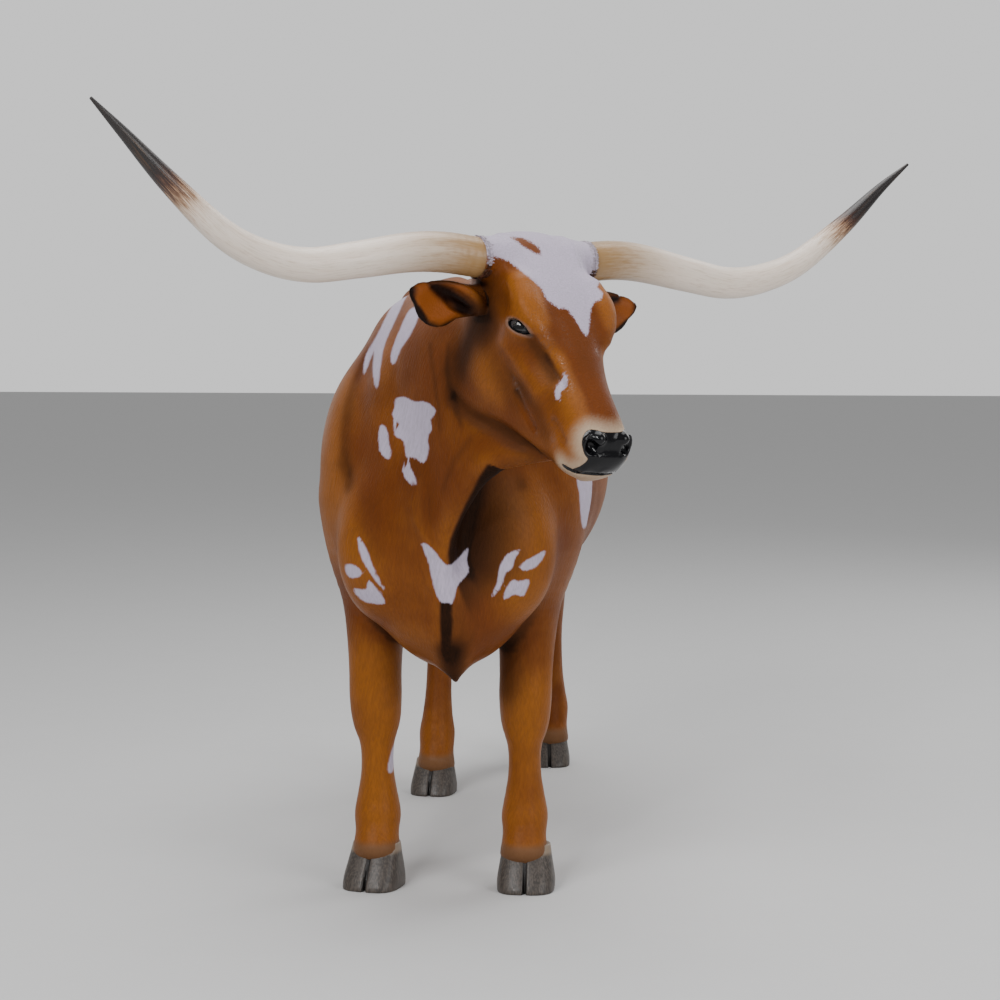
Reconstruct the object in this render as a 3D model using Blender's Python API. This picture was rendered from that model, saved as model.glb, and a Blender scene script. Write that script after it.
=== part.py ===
"""A life-size painted fibreglass statue of a Texas longhorn steer.

The animal faces -Y and looks to its left (+X). Its flesh is modelled like clay: rounded masses,
each given by a few sizes, that run together where they meet. The whole form is then parted into
head, neck, torso and legs by thin cuts.
"""
import math

import bmesh
import bpy
import numpy as np
import openvdb
from mathutils import Matrix, Vector

GAP = 0.0003  # between neighbouring pieces
FAR = 0.5  # field value well outside the clay

# The head: the middle of the horn roots, and how the head is turned from straight ahead.
POLL = Vector((0.203, -0.292, 1.410))
HEAD_YAW = math.radians(39.7)
HEAD_ROLL = math.radians(2.3)
HEAD_PITCH = math.radians(51.9)
EYE_PLACE = (0.0906, 0.1705, -0.0075)
EYE_RADIUS = 0.0265
EAR_ROOT = (0.098, 0.050, -0.085)
EAR_CUT = 0.036  # along the ear
HORN_CUT = 0.135  # from the middle of the head
MUZZLE_CUT = 0.425  # along the head

# The legs: where the toes stand.
TOE_FRONT = 0.0
TOE_RIGHT_HIND = 1.035
TOE_LEFT_HIND = 1.443
FORELEG_SHIFT = -0.004
HOOF_TOP = 0.0885
HIND_HOOF = 0.90  # size of a hind hoof against a front one
TAIL_CUT = 1.170  # height below which the tail hangs free

# Torso stations: y, underside, topline, height of the widest place, half width,
# squareness above and below.
TORSO = [
    (-0.155, 0.860, 0.900, 0.880, 0.020, 2.00, 2.0),
    (-0.120, 0.720, 1.030, 0.880, 0.120, 2.00, 2.0),
    (-0.040, 0.600, 1.200, 0.880, 0.200, 1.90, 2.0),
    (0.080, 0.565, 1.300, 0.880, 0.250, 1.55, 2.0),
    (0.220, 0.575, 1.355, 0.880, 0.270, 1.45, 2.1),
    (0.420, 0.585, 1.350, 0.900, 0.300, 1.60, 2.2),
    (0.650, 0.600, 1.332, 0.900, 0.328, 1.80, 2.1),
    (0.850, 0.635, 1.335, 0.920, 0.312, 1.80, 2.1),
    (1.020, 0.710, 1.350, 0.980, 0.265, 1.80, 2.1),
    (1.160, 0.790, 1.362, 1.030, 0.245, 1.90, 2.1),
    (1.280, 0.840, 1.362, 1.060, 0.225, 2.10, 2.2),
    (1.380, 0.900, 1.335, 1.100, 0.195, 2.20, 2.2),
    (1.450, 1.000, 1.270, 1.130, 0.120, 2.00, 2.0),
    (1.475, 1.120, 1.160, 1.140, 0.020, 2.00, 2.0),
]

# Limb stations: x, y, z, half width, half depth.
NECK = [
    (-0.02, 0.20, 1.05, 0.190, 0.300),
    (0.005, 0.05, 1.11, 0.165, 0.235),
    (0.06, -0.08, 1.17, 0.138, 0.185),
    (0.13, -0.17, 1.235, 0.118, 0.155),
    (0.18, -0.24, 1.300, 0.102, 0.132),
]
FORELEG = [
    (0.167, 0.082, 0.080, 0.0540, 0.058),
    (0.167, 0.095, 0.120, 0.0490, 0.052),
    (0.167, 0.108, 0.160, 0.0525, 0.056),
    (0.167, 0.108, 0.205, 0.0450, 0.048),
    (0.167, 0.105, 0.260, 0.0370, 0.041),
    (0.167, 0.102, 0.320, 0.0385, 0.042),
    (0.168, 0.098, 0.375, 0.0540, 0.052),
    (0.169, 0.094, 0.430, 0.0590, 0.060),
    (0.170, 0.098, 0.490, 0.0595, 0.060),
    (0.171, 0.112, 0.560, 0.0640, 0.078),
    (0.170, 0.132, 0.640, 0.0770, 0.105),
    (0.172, 0.150, 0.740, 0.1000, 0.140),
    (0.172, 0.165, 0.860, 0.1150, 0.175),
]
TAIL = [
    (0, 1.360, 1.335, 0.0400, 0.0300),
    (0, 1.435, 1.325, 0.0340, 0.0300),
    (0, 1.495, 1.265, 0.0270, 0.0260),
    (0, 1.520, 1.160, 0.0210, 0.0210),
    (0, 1.530, 1.000, 0.0170, 0.0170),
    (0, 1.532, 0.820, 0.0145, 0.0145),
    (0, 1.532, 0.660, 0.0140, 0.0140),
]
SWITCH = [
    (0, 1.532, 0.6597, 0.0140, 0.0140),
    (0, 1.532, 0.600, 0.0240, 0.0240),
    (0, 1.534, 0.520, 0.0360, 0.0340),
    (0, 1.536, 0.440, 0.0380, 0.0360),
    (0, 1.536, 0.375, 0.0260, 0.0260),
    (0, 1.534, 0.330, 0.0060, 0.0060),
]

# The dewlap: its free edge, the place inside the neck it hangs from, and its half thickness.
DEWLAP = [
    ((0.252, -0.380, 1.015), (0.240, -0.330, 1.12), 0.034),
    ((0.185, -0.345, 1.000), (0.175, -0.270, 1.16), 0.046),
    ((0.132, -0.318, 0.985), (0.105, -0.200, 1.17), 0.054),
    ((0.095, -0.285, 0.955), (0.050, -0.140, 1.14), 0.060),
    ((0.061, -0.250, 0.905), (-0.005, -0.080, 1.08), 0.060),
    ((0.029, -0.212, 0.838), (-0.040, -0.020, 0.98), 0.058),
    ((0.014, -0.182, 0.760), (-0.040, 0.000, 0.88), 0.055),
    ((0.008, -0.165, 0.683), (-0.020, 0.010, 0.78), 0.055),
    ((0.008, -0.140, 0.590), (0.000, 0.020, 0.68), 0.050),
    ((0.016, -0.105, 0.532), (0.010, 0.000, 0.61), 0.035),
]

# The hollow on the left of the dewlap: x, y, z and radii.
HOLLOW = [
    (0.172, -0.230, 0.985, 0.016, 0.016),
    (0.140, -0.213, 0.950, 0.026, 0.026),
    (0.108, -0.185, 0.895, 0.029, 0.029),
    (0.074, -0.160, 0.830, 0.025, 0.025),
    (0.050, -0.145, 0.765, 0.015, 0.015),
]
# Creases in the skin: before the shoulder, behind the cheek and in the bend of the neck.
GROOVES = [
    [(-0.190, 0.097, 1.200), (-0.207, 0.057, 1.130), (-0.222, 0.019, 1.060), (-0.224, -0.008, 0.985),
     (-0.212, -0.043, 0.920)],
    [(0.190, -0.108, 1.020), (0.185, -0.118, 0.970), (0.178, -0.098, 0.920)],
    [(0.215, -0.098, 1.020), (0.210, -0.103, 0.970), (0.200, -0.083, 0.930)],
]
# Creases of the face, for the left side: radius, softness and line. They run below the eye, along
# the cheek, above the mouth and round the jaw.
FACE_GROOVES = [
    (0.002, 0.016, [(0.099, 0.218, 0.020), (0.085, 0.240, 0.012), (0.070, 0.260, 0.004),
                    (0.060, 0.295, 0.002), (0.055, 0.319, 0.000)]),
    (0.002, 0.014, [(0.081, 0.259, -0.110), (0.073, 0.308, -0.115), (0.066, 0.345, -0.115)]),
    (0.002, 0.014, [(0.067, 0.366, -0.054), (0.068, 0.403, -0.049), (0.069, 0.425, -0.045)]),
    (0.004, 0.030, [(0.100, 0.150, -0.280), (0.093, 0.192, -0.264), (0.080, 0.230, -0.245),
                    (0.062, 0.280, -0.214), (0.048, 0.323, -0.194), (0.034, 0.358, -0.176)]),
]

# Head stations: distance from the poll towards the nose, underside, forehead line, height of
# the widest place, half width, squareness above and below.
SKULL = [
    (-0.080, -0.060, -0.020, -0.040, 0.030, 2.2, 2.0),
    (-0.055, -0.110, 0.024, -0.030, 0.085, 2.4, 2.0),
    (-0.015, -0.150, 0.047, -0.020, 0.106, 2.8, 2.0),
    (0.040, -0.190, 0.053, -0.010, 0.104, 3.0, 2.0),
    (0.100, -0.215, 0.056, 0.000, 0.106, 3.0, 2.0),
    (0.155, -0.225, 0.054, 0.010, 0.108, 3.0, 2.0),
    (0.190, -0.225, 0.050, 0.000, 0.100, 2.7, 2.0),
    (0.230, -0.210, 0.045, -0.015, 0.083, 2.4, 2.0),
    (0.280, -0.185, 0.040, -0.030, 0.069, 2.2, 2.0),
    (0.330, -0.160, 0.036, -0.035, 0.060, 2.1, 2.2),
    (0.380, -0.137, 0.033, -0.040, 0.057, 2.2, 2.4),
    (0.415, -0.126, 0.029, -0.045, 0.059, 2.4, 2.6),
    (0.440, -0.119, 0.020, -0.048, 0.060, 2.7, 2.4),
    (0.460, -0.111, 0.007, -0.040, 0.060, 3.0, 2.0),
    (0.475, -0.102, -0.008, -0.036, 0.054, 3.0, 1.8),
    (0.485, -0.093, -0.016, -0.038, 0.043, 2.8, 1.9),
    (0.492, -0.080, -0.027, -0.042, 0.027, 2.4, 2.0),
    (0.497, -0.064, -0.040, -0.048, 0.009, 2.2, 2.2),
]
JAW = [
    (0.020, -0.200, -0.050, -0.120, 0.045, 2.2, 2.2),
    (0.060, -0.245, -0.020, -0.130, 0.075, 2.2, 2.4),
    (0.120, -0.268, 0.000, -0.140, 0.088, 2.2, 2.6),
    (0.180, -0.262, 0.000, -0.130, 0.089, 2.2, 2.8),
    (0.240, -0.232, 0.000, -0.120, 0.081, 2.2, 2.8),
    (0.300, -0.198, 0.000, -0.100, 0.073, 2.2, 2.8),
    (0.360, -0.163, 0.000, -0.085, 0.066, 2.2, 2.8),
    (0.420, -0.134, 0.000, -0.078, 0.056, 2.2, 2.6),
    (0.450, -0.117, -0.010, -0.080, 0.044, 2.2, 2.4),
    (0.472, -0.103, -0.030, -0.080, 0.026, 2.2, 2.2),
]
LIP = [
    (0.066, 0.458, -0.085),
    (0.047, 0.475, -0.072),
    (0.034, 0.485, -0.062),
    (0.017, 0.490, -0.058),
    (0.000, 0.492, -0.056),
]
NOSTRIL_RIM = [
    (0.050, 0.447, 0.010),
    (0.057, 0.452, 0.001),
    (0.058, 0.459, -0.009),
    (0.053, 0.467, -0.018),
    (0.043, 0.474, -0.021),
    (0.033, 0.478, -0.014),
]

# The ear: towards the upper edge, out along the ear, into the cup, half width, half thickness.
EAR = [
    (0.003, -0.030, -0.006, 0.030, 0.030),
    (0.004, 0.005, -0.002, 0.031, 0.028),
    (0.002, 0.040, 0.000, 0.034, 0.022),
    (-0.001, 0.075, 0.000, 0.039, 0.017),
    (-0.009, 0.108, 0.000, 0.048, 0.014),
    (-0.006, 0.136, 0.001, 0.044, 0.012),
    (0.005, 0.160, 0.003, 0.030, 0.010),
    (0.010, 0.178, 0.005, 0.019, 0.008),
    (0.014, 0.189, 0.006, 0.007, 0.005),
]
EAR_OUT = {1: (1.0, 0.090, 0.035), -1: (-1.0, 0.020, 0.085)}  # each ear's direction in the head

# The horn: sideways, forward, rise, radius.
HORN = [
    (HORN_CUT + GAP, 0.000, 0.000, 0.0415),
    (0.220, -0.006, 0.007, 0.0413),
    (0.300, -0.010, 0.003, 0.0400),
    (0.420, -0.008, -0.016, 0.0370),
    (0.530, -0.007, -0.030, 0.0345),
    (0.630, -0.005, -0.017, 0.0318),
    (0.730, 0.004, 0.023, 0.0280),
    (0.850, 0.014, 0.111, 0.0213),
    (0.950, 0.020, 0.196, 0.0115),
    (1.024, 0.030, 0.255, 0.0030),
]

# The hoof: height, heel, toe, height of the widest place, half width, squareness of toe and heel.
HOOF = [
    (-0.010, -0.079, 0.073, 0.000, 0.0630, 3.2, 2.4),
    (0.004, -0.079, 0.073, 0.000, 0.0645, 3.2, 2.4),
    (0.025, -0.077, 0.064, 0.000, 0.0650, 3.0, 2.4),
    (0.055, -0.072, 0.046, -0.005, 0.0605, 2.8, 2.4),
    (0.075, -0.068, 0.033, -0.010, 0.0575, 2.6, 2.2),
    (0.086, -0.066, 0.026, -0.012, 0.0560, 2.5, 2.2),
    (0.100, -0.062, 0.018, -0.014, 0.0540, 2.4, 2.2),
]


# The feet: node, middle of the toe across the body, toe, turn outwards in degrees, size.
FEET = [
    ("hoof_front_left", 0.1685, TOE_FRONT, 0, 1.0),
    ("hoof_front_right", -0.192, TOE_FRONT, -14, 1.0),
    ("hoof_hind_left", 0.142, TOE_LEFT_HIND, 6, HIND_HOOF),
    ("hoof_hind_right", -0.154, TOE_RIGHT_HIND, -8, HIND_HOOF),
]


class Place:
    """An origin and three directions in which a mass is described."""

    def __init__(self, origin=(0, 0, 0), turn=None):
        self.origin = Vector(origin)
        self.turn = Matrix.Identity(3) if turn is None else turn

    def world(self, point):
        return self.origin + self.turn @ Vector(point)

    def local(self, x, y, z):
        turn = np.array(self.turn.transposed(), np.float32)
        x, y, z = (c - np.float32(o) for c, o in zip((x, y, z), self.origin))
        return tuple(row[0] * x + row[1] * y + row[2] * z for row in turn)

    def matrix(self):
        return Matrix.Translation(self.origin) @ self.turn.to_4x4()


def facing(out, towards, turn, origin):
    """A place whose y runs out, whose z runs towards, and whose x lies across both."""
    out = Vector(out).normalized()
    towards = Vector(towards)
    towards = (towards - towards.dot(out) * out).normalized()
    return Place(origin, turn @ Matrix((out.cross(towards), out, towards)).transposed())


def head_places():
    """The crown, turned but level, and the head, which is also pitched down."""
    forward = Matrix(((1, 0, 0), (0, -1, 0), (0, 0, 1)))
    turned = Matrix.Rotation(HEAD_YAW, 3, 'Z') @ Matrix.Rotation(HEAD_ROLL, 3, 'Y')
    pitched = turned @ Matrix.Rotation(HEAD_PITCH, 3, 'X')
    return Place(POLL, turned @ forward), Place(POLL, pitched @ forward)


BODY = Place()
CROWN, HEAD = head_places()


def ear_place(side):
    root = HEAD.world((side * EAR_ROOT[0], EAR_ROOT[1], EAR_ROOT[2]))
    return facing(EAR_OUT[side], (side * 0.15, 0.65, 0.75), HEAD.turn, root)


def eye_place(side):
    """x along the lids towards the inner corner, y out of the eye."""
    out = Vector((side * 0.80, 0.33, 0.50)).normalized()
    along = Vector((-side * 0.45, 0.74, 0.33))
    along = (along - along.dot(out) * out).normalized()
    middle = HEAD.world((side * EYE_PLACE[0], EYE_PLACE[1], EYE_PLACE[2]))
    return Place(middle, HEAD.turn @ Matrix((along, out, along.cross(out))).transposed())


def spline(stations, share):
    """Smooth values through the rows of stations; share runs from 0 to the last row's number."""
    rows = np.asarray(stations, float)
    padded = np.vstack([2 * rows[0] - rows[1], rows, 2 * rows[-1] - rows[-2]])
    first = np.clip(np.floor(share).astype(int), 0, len(rows) - 2)
    t = (share - first)[:, None]
    a, b, c, d = (padded[first + i] for i in range(4))
    return 0.5 * (2 * b + (c - a) * t + (2 * a - 5 * b + 4 * c - d) * t ** 2
                  + (3 * b - a - 3 * c + d) * t ** 3)


def rounded(u, v, w, a, b, c):
    """Nearly the distance to an ellipsoid with the radii a, b and c."""
    near = np.sqrt((u / a) ** 2 + (v / b) ** 2 + (w / c) ** 2)
    slope = np.sqrt((u / a ** 2) ** 2 + (v / b ** 2) ** 2 + (w / c ** 2) ** 2)
    return near * (near - 1) / np.maximum(slope, 1e-6)


def ball(centre, radii, place=BODY):
    """An ellipsoid mass."""
    inner = Place(place.world(centre), place.turn)
    reach = np.sqrt(np.array(place.turn) ** 2 @ np.array(radii) ** 2)
    middle = np.array(inner.origin)

    def distance(x, y, z):
        return rounded(*inner.local(x, y, z), *(np.float32(r) for r in radii))
    return middle - reach, middle + reach, distance


def limb(stations, side=(1, 0, 0), place=BODY, round_ends=0.7, steps=4):
    """A smooth chain of elliptic sections; side is the direction of their half width."""
    share = np.linspace(0, len(stations) - 1, (len(stations) - 1) * steps + 1)
    rows = spline(stations, share)
    points = [place.world(row[:3]) for row in rows]
    side = place.turn @ Vector(side)
    sizes = np.maximum(rows[:, 3:5], 0.002)
    thick = sizes.max(axis=1)
    spots = np.array([tuple(p) for p in points])

    def distance(x, y, z):
        shape = np.broadcast_shapes(x.shape, y.shape, z.shape)
        nearest = np.full(shape, FAR, np.float32)
        lines = (x.ravel(), y.ravel(), z.ravel())
        for i in range(len(points) - 1):
            reach = max(thick[i], thick[i + 1]) + 0.09
            low = np.minimum(spots[i], spots[i + 1]) - reach
            high = np.maximum(spots[i], spots[i + 1]) + reach
            cut = tuple(slice(np.searchsorted(line, a), np.searchsorted(line, b))
                        for line, a, b in zip(lines, low, high))
            if any(c.start >= c.stop for c in cut):
                continue
            step = points[i + 1] - points[i]
            length = max(step.length, 1e-6)
            along = step / length
            across = (side - side.dot(along) * along).normalized()
            inner = Place(points[i], Matrix((across, along.cross(across), along)).transposed())
            u, v, w = inner.local(*np.ix_(*(line[c] for line, c in zip(lines, cut))))
            t = np.clip(w / length, 0, 1)
            a = sizes[i, 0] + t * (sizes[i + 1, 0] - sizes[i, 0])
            b = sizes[i, 1] + t * (sizes[i + 1, 1] - sizes[i, 1])
            d = rounded(u, v, w - t * length, a, b, round_ends * np.minimum(a, b))
            nearest[cut] = np.minimum(nearest[cut], d)
        return nearest
    return (spots - thick[:, None]).min(0), (spots + thick[:, None]).max(0), distance


def loft(stations, place=BODY):
    """A mass through superelliptic sections set along the place's y."""
    rows = np.asarray(stations, float)
    fine = spline(rows, np.linspace(0, len(rows) - 1, (len(rows) - 1) * 12 + 1))
    fine[:, 0] = np.maximum.accumulate(fine[:, 0])
    corners = np.array([tuple(place.world((x, y, z)))
                        for x in (-rows[:, 4].max(), rows[:, 4].max())
                        for y in (rows[0, 0], rows[-1, 0])
                        for z in (rows[:, 1].min(), rows[:, 2].max())])

    def distance(x, y, z):
        u, v, w = place.local(x, y, z)

        def at(column):
            return np.interp(v, fine[:, 0], fine[:, column]).astype(np.float32)
        middle, wide = at(3), np.maximum(at(4), 0.004)
        above = w > middle
        tall = np.maximum(np.where(above, at(2) - middle, middle - at(1)), 0.004)
        power = np.where(above, at(5), at(6))
        across, up = np.abs(u) / wide, np.abs(w - middle) / tall
        near = (across ** power + up ** power + 1e-9) ** (1 / power)
        slope_u = near ** (1 - power) * across ** (power - 1) / wide
        slope_w = near ** (1 - power) * up ** (power - 1) / tall
        d = (near - 1) / np.maximum(np.sqrt(slope_u ** 2 + slope_w ** 2), 1.0)
        beyond = np.maximum(rows[0, 0] - v, v - rows[-1, 0])
        return np.maximum(d, beyond).astype(np.float32)
    return corners.min(0) - 0.02, corners.max(0) + 0.02, distance


class Clay:
    """A block of space that holds the distance to the surface of the masses put into it."""

    def __init__(self, lines):
        self.lines = [np.asarray(line, np.float32) for line in lines]
        self.field = np.full([len(line) for line in self.lines], FAR, np.float32)

    def part(self, mass, blend):
        """The cells near a mass, what they hold and the mass's own distance there."""
        low, high, distance = mass
        margin = blend + 0.025
        cut = tuple(slice(*np.searchsorted(line, (a - margin, b + margin)))
                    for line, a, b in zip(self.lines, low, high))
        if any(c.start >= c.stop for c in cut):
            return None, None, None
        return cut, self.field[cut], distance(*np.ix_(*(line[c] for line, c in zip(self.lines, cut))))

    def add(self, mass, blend):
        cut, held, new = self.part(mass, blend)
        if cut is not None:
            near = np.maximum(blend - np.abs(held - new), 0) / blend
            self.field[cut] = np.minimum(held, new) - near * near * blend / 4

    def carve(self, mass, blend):
        cut, held, new = self.part(mass, blend)
        if cut is not None:
            near = np.maximum(blend - np.abs(held + new), 0) / blend
            self.field[cut] = np.maximum(held, -new) + near * near * blend / 4

    def mesh(self, name):
        """The clay's surface as a mesh of quads."""
        grid = openvdb.FloatGrid(FAR)
        grid.copyFromArray(self.field)
        points, triangles, quads = grid.convertToPolygons(isovalue=0.0, adaptivity=0.0)
        steps = [np.interp(points[:, i], np.arange(len(line)), line) for i, line in enumerate(self.lines)]
        mesh = bpy.data.meshes.new(name)
        mesh.from_pydata(np.column_stack(steps).tolist(), [], quads.tolist() + triangles.tolist())
        return mesh


def even(low, high, grain):
    """Evenly spaced grid lines between two corners."""
    return [np.arange(a, b + grain, grain) for a, b in zip(low, high)]


def hindleg(toe):
    """Stations of a left hind leg whose toe tip stands at y = toe."""
    def between(share, hip):
        return share * toe + (1 - share) * hip
    return [
        (0.140, toe + 0.073, 0.075, 0.050, 0.052),
        (0.140, toe + 0.088, 0.110, 0.045, 0.048),
        (0.140, toe + 0.105, 0.155, 0.047, 0.052),
        (0.139, toe + 0.108, 0.200, 0.040, 0.044),
        (0.138, between(0.92, 1.27) + 0.108, 0.270, 0.034, 0.040),
        (0.137, between(0.80, 1.27) + 0.110, 0.370, 0.034, 0.042),
        (0.137, between(0.68, 1.27) + 0.115, 0.450, 0.041, 0.056),
        (0.140, between(0.58, 1.27) + 0.100, 0.530, 0.046, 0.073),
        (0.147, between(0.45, 1.25) + 0.050, 0.620, 0.055, 0.085),
        (0.160, between(0.30, 1.22) - 0.010, 0.720, 0.080, 0.125),
        (0.168, between(0.15, 1.19) - 0.020, 0.840, 0.098, 0.180),
        (0.165, 1.170, 0.970, 0.105, 0.215),
        (0.150, 1.200, 1.100, 0.095, 0.200),
    ]


def dewclaws(clay, side, middle, toe, size):
    """Two small claws behind the fetlock."""
    for x in (-0.024, 0.024):
        top = (middle + x * size, toe + 0.158 * size, 0.165 * size, 0.012, 0.012)
        tip = (middle + 1.25 * x * size, toe + 0.172 * size, 0.135 * size, 0.008, 0.008)
        clay.add(limb([top, tip]), 0.008)


def model_body(clay):
    """Torso, neck, dewlap, legs and the root of the tail."""
    clay.add(loft(TORSO), 0.001)
    clay.add(limb(NECK, side=(0.93, 0.37, 0), round_ends=1.0, steps=12), 0.09)
    hanging = []
    for edge, root, half in DEWLAP:
        edge, root = Vector(edge), Vector(root)
        hanging.append((*((edge + root) / 2), half, (edge - root).length / 2))
    clay.add(limb(hanging, side=(0.86, 0.50, 0), steps=10), 0.08)
    keel = []
    for edge, root, _ in DEWLAP:
        inward = (Vector(root) - Vector(edge)).normalized()
        keel.append((*(Vector(edge) + 0.016 * inward), 0.016, 0.016))
    clay.add(limb(keel, steps=6), 0.05)
    clay.carve(limb(HOLLOW, steps=6), 0.08)
    for groove in GROOVES:
        clay.carve(limb([(*place, 0.005, 0.005) for place in groove], steps=6), 0.030)
    for side in (-1, 1):
        clay.add(ball((side * 0.182, 0.17, 0.93), (0.122, 0.19, 0.26)), 0.05)  # shoulder
        clay.add(ball((side * 0.110, 0.20, 1.12), (0.085, 0.12, 0.17)), 0.06)  # shoulder blade
        clay.add(ball((side * 0.120, -0.03, 0.78), (0.120, 0.11, 0.17)), 0.05)  # breast
        clay.add(ball((side * 0.150, 1.20, 1.05), (0.115, 0.22, 0.25)), 0.05)  # thigh
        clay.add(ball((side * 0.165, 1.07, 1.285), (0.055, 0.08, 0.05)), 0.10)  # hip bone
        clay.add(ball((side * 0.095, 1.42, 1.20), (0.045, 0.05, 0.05)), 0.07)  # seat bone
        clay.add(limb([(side * r[0] + FORELEG_SHIFT, *r[1:]) for r in FORELEG]), 0.045)
        dewclaws(clay, side, side * 0.167 + FORELEG_SHIFT, TOE_FRONT, 1.0)
        toe = TOE_RIGHT_HIND if side < 0 else TOE_LEFT_HIND
        clay.add(limb([(side * r[0], *r[1:]) for r in hindleg(toe)]), 0.05)
        dewclaws(clay, side, side * 0.140, toe, HIND_HOOF)
    clay.add(ball((-0.045, -0.075, 0.85), (0.070, 0.090, 0.20)), 0.08)  # right of the dewlap
    clay.add(ball((0.010, -0.01, 0.64), (0.140, 0.13, 0.12)), 0.05)  # brisket
    tip = [(0.020, -0.060, 0.560, 0.030, 0.060), (0.022, -0.075, 0.525, 0.018, 0.045),
           (0.024, -0.085, 0.498, 0.005, 0.020)]
    clay.add(limb(tip), 0.03)
    clay.add(ball((0, 0.80, 0.635), (0.026, 0.08, 0.04)), 0.05)  # sheath
    clay.add(limb(TAIL[:5]), 0.04)


def model_head(clay):
    """Skull, jaw, brows, horn roots, ears, nostrils, mouth and the openings of the eyes."""
    clay.add(loft(SKULL, HEAD), 0.05)
    clay.add(loft(JAW, HEAD), 0.03)
    for side in (-1, 1):
        clay.add(ball((side * 0.062, 0.150, -0.150), (0.040, 0.075, 0.085), HEAD), 0.03)  # cheek
        brow = [(side * 0.092, 0.100, 0.036, 0.014, 0.014), (side * 0.098, 0.145, 0.036, 0.018, 0.018),
                (side * 0.092, 0.190, 0.030, 0.016, 0.016), (side * 0.078, 0.220, 0.022, 0.010, 0.010)]
        clay.add(limb(brow, place=HEAD), 0.045)
        cheekbone = [(side * 0.093, 0.180, -0.045, 0.012, 0.012),
                     (side * 0.083, 0.230, -0.048, 0.012, 0.012),
                     (side * 0.066, 0.290, -0.050, 0.010, 0.010)]
        clay.add(limb(cheekbone, place=HEAD), 0.05)
        root = [(side * 0.08, 0, 0, 0.0450, 0.0450), (side * 0.14, 0, 0, 0.0425, 0.0425)]
        clay.add(limb(root, (0, 0, 1), CROWN, round_ends=0.2), 0.03)
        clay.carve(ball((side * 0.128, 0.085, -0.020), (0.016, 0.035, 0.030), HEAD), 0.03)  # temple
        clay.add(ball((side * 0.034, 0.435, -0.058), (0.031, 0.042, 0.042), HEAD), 0.03)  # lip
        clay.add(ball((side * 0.030, 0.456, 0.010), (0.013, 0.013, 0.012), HEAD), 0.012)  # nostril wing
        clay.add(ball((side * 0.086, 0.172, -0.004), (0.031, 0.035, 0.029), HEAD), 0.025)  # orbit
        model_ear(clay, side)
        model_lids(clay, side)
        rim = [(side * x, y, z, 0.0035, 0.0035) for x, y, z in NOSTRIL_RIM]
        clay.add(limb(rim, place=HEAD), 0.006)
        clay.carve(ball((side * 0.043, 0.466, -0.006), (0.0125, 0.0160, 0.0125), HEAD), 0.004)
        slit = [(side * 0.036, 0.470, -0.010, 0.004, 0.004), (side * 0.028, 0.478, -0.011, 0.0035, 0.0035),
                (side * 0.023, 0.483, -0.008, 0.002, 0.002)]
        clay.carve(limb(slit, place=HEAD), 0.003)
        for radius, softness, groove in FACE_GROOVES:
            rows = [(side * x, y, z, radius, radius) for x, y, z in groove]
            clay.carve(limb(rows, place=HEAD), softness)
    line = [(-x, y, z, 0.003, 0.004) for x, y, z in LIP]
    line += [(x, y, z, 0.003, 0.004) for x, y, z in LIP[-2::-1]]
    clay.carve(limb(line, (0, 0, 1), HEAD), 0.005)


def model_ear(clay, side):
    """A leaf with a rolled upper rim over a cup that is deepest towards the head."""
    place = ear_place(side)
    clay.add(limb([(side * r[0], *r[1:]) for r in EAR], (1, 0, 0), place), 0.014)
    roll = [(side * -0.014, 0.012, 0.019, 0.012, 0.012), (side * 0.008, 0.036, 0.024, 0.012, 0.012),
            (side * 0.025, 0.066, 0.020, 0.010, 0.010), (side * 0.033, 0.100, 0.013, 0.007, 0.007),
            (side * 0.031, 0.140, 0.008, 0.005, 0.005)]
    clay.add(limb(roll, (1, 0, 0), place), 0.008)
    clay.carve(ball((side * -0.008, 0.118, 0.026), (0.034, 0.062, 0.021), place), 0.006)
    cavity = [(side * -0.022, 0.040, 0.018, 0.008, 0.012), (side * -0.010, 0.075, 0.012, 0.012, 0.014),
              (side * 0.006, 0.105, 0.014, 0.010, 0.010), (side * 0.022, 0.138, 0.014, 0.004, 0.006)]
    clay.carve(limb(cavity, (1, 0, 0), place), 0.005)
    for i in range(3):
        fold = [(side * 0.024, -0.012 + 0.011 * i, 0.020, 0.002, 0.002),
                (side * 0.004, -0.016 + 0.011 * i, 0.029, 0.002, 0.003),
                (side * -0.018, -0.012 + 0.010 * i, 0.022, 0.002, 0.002)]
        clay.carve(limb(fold, (0, 1, 0), place), 0.006)


def model_lids(clay, side):
    """Upper and lower lid, and the almond opening between them."""
    place = eye_place(side)
    for lift, thick in ((-1, 0.0040), (1, 0.0056)):
        lid = [(-0.028, 0.0080, lift * 0.0010, 0.0045, 0.0045),
               (-0.014, 0.0215, lift * 0.0108, thick, 0.0042),
               (0.002, 0.0252, lift * 0.0138, thick, 0.0042),
               (0.016, 0.0210, lift * 0.0095, thick, 0.0042),
               (0.031, 0.0105, lift * -0.0010, 0.0038, 0.0038)]
        clay.add(limb(lid, (0, 1, 0), place), 0.008)
    opening = [(-0.029, 0.024, 0.0015, 0.018, 0.0012), (-0.015, 0.031, 0.0020, 0.026, 0.0088),
               (0.001, 0.034, 0.0015, 0.028, 0.0112), (0.016, 0.031, -0.0005, 0.026, 0.0080),
               (0.030, 0.025, -0.0030, 0.018, 0.0012)]
    clay.carve(limb(opening, (0, 1, 0), place), 0.002)


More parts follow.
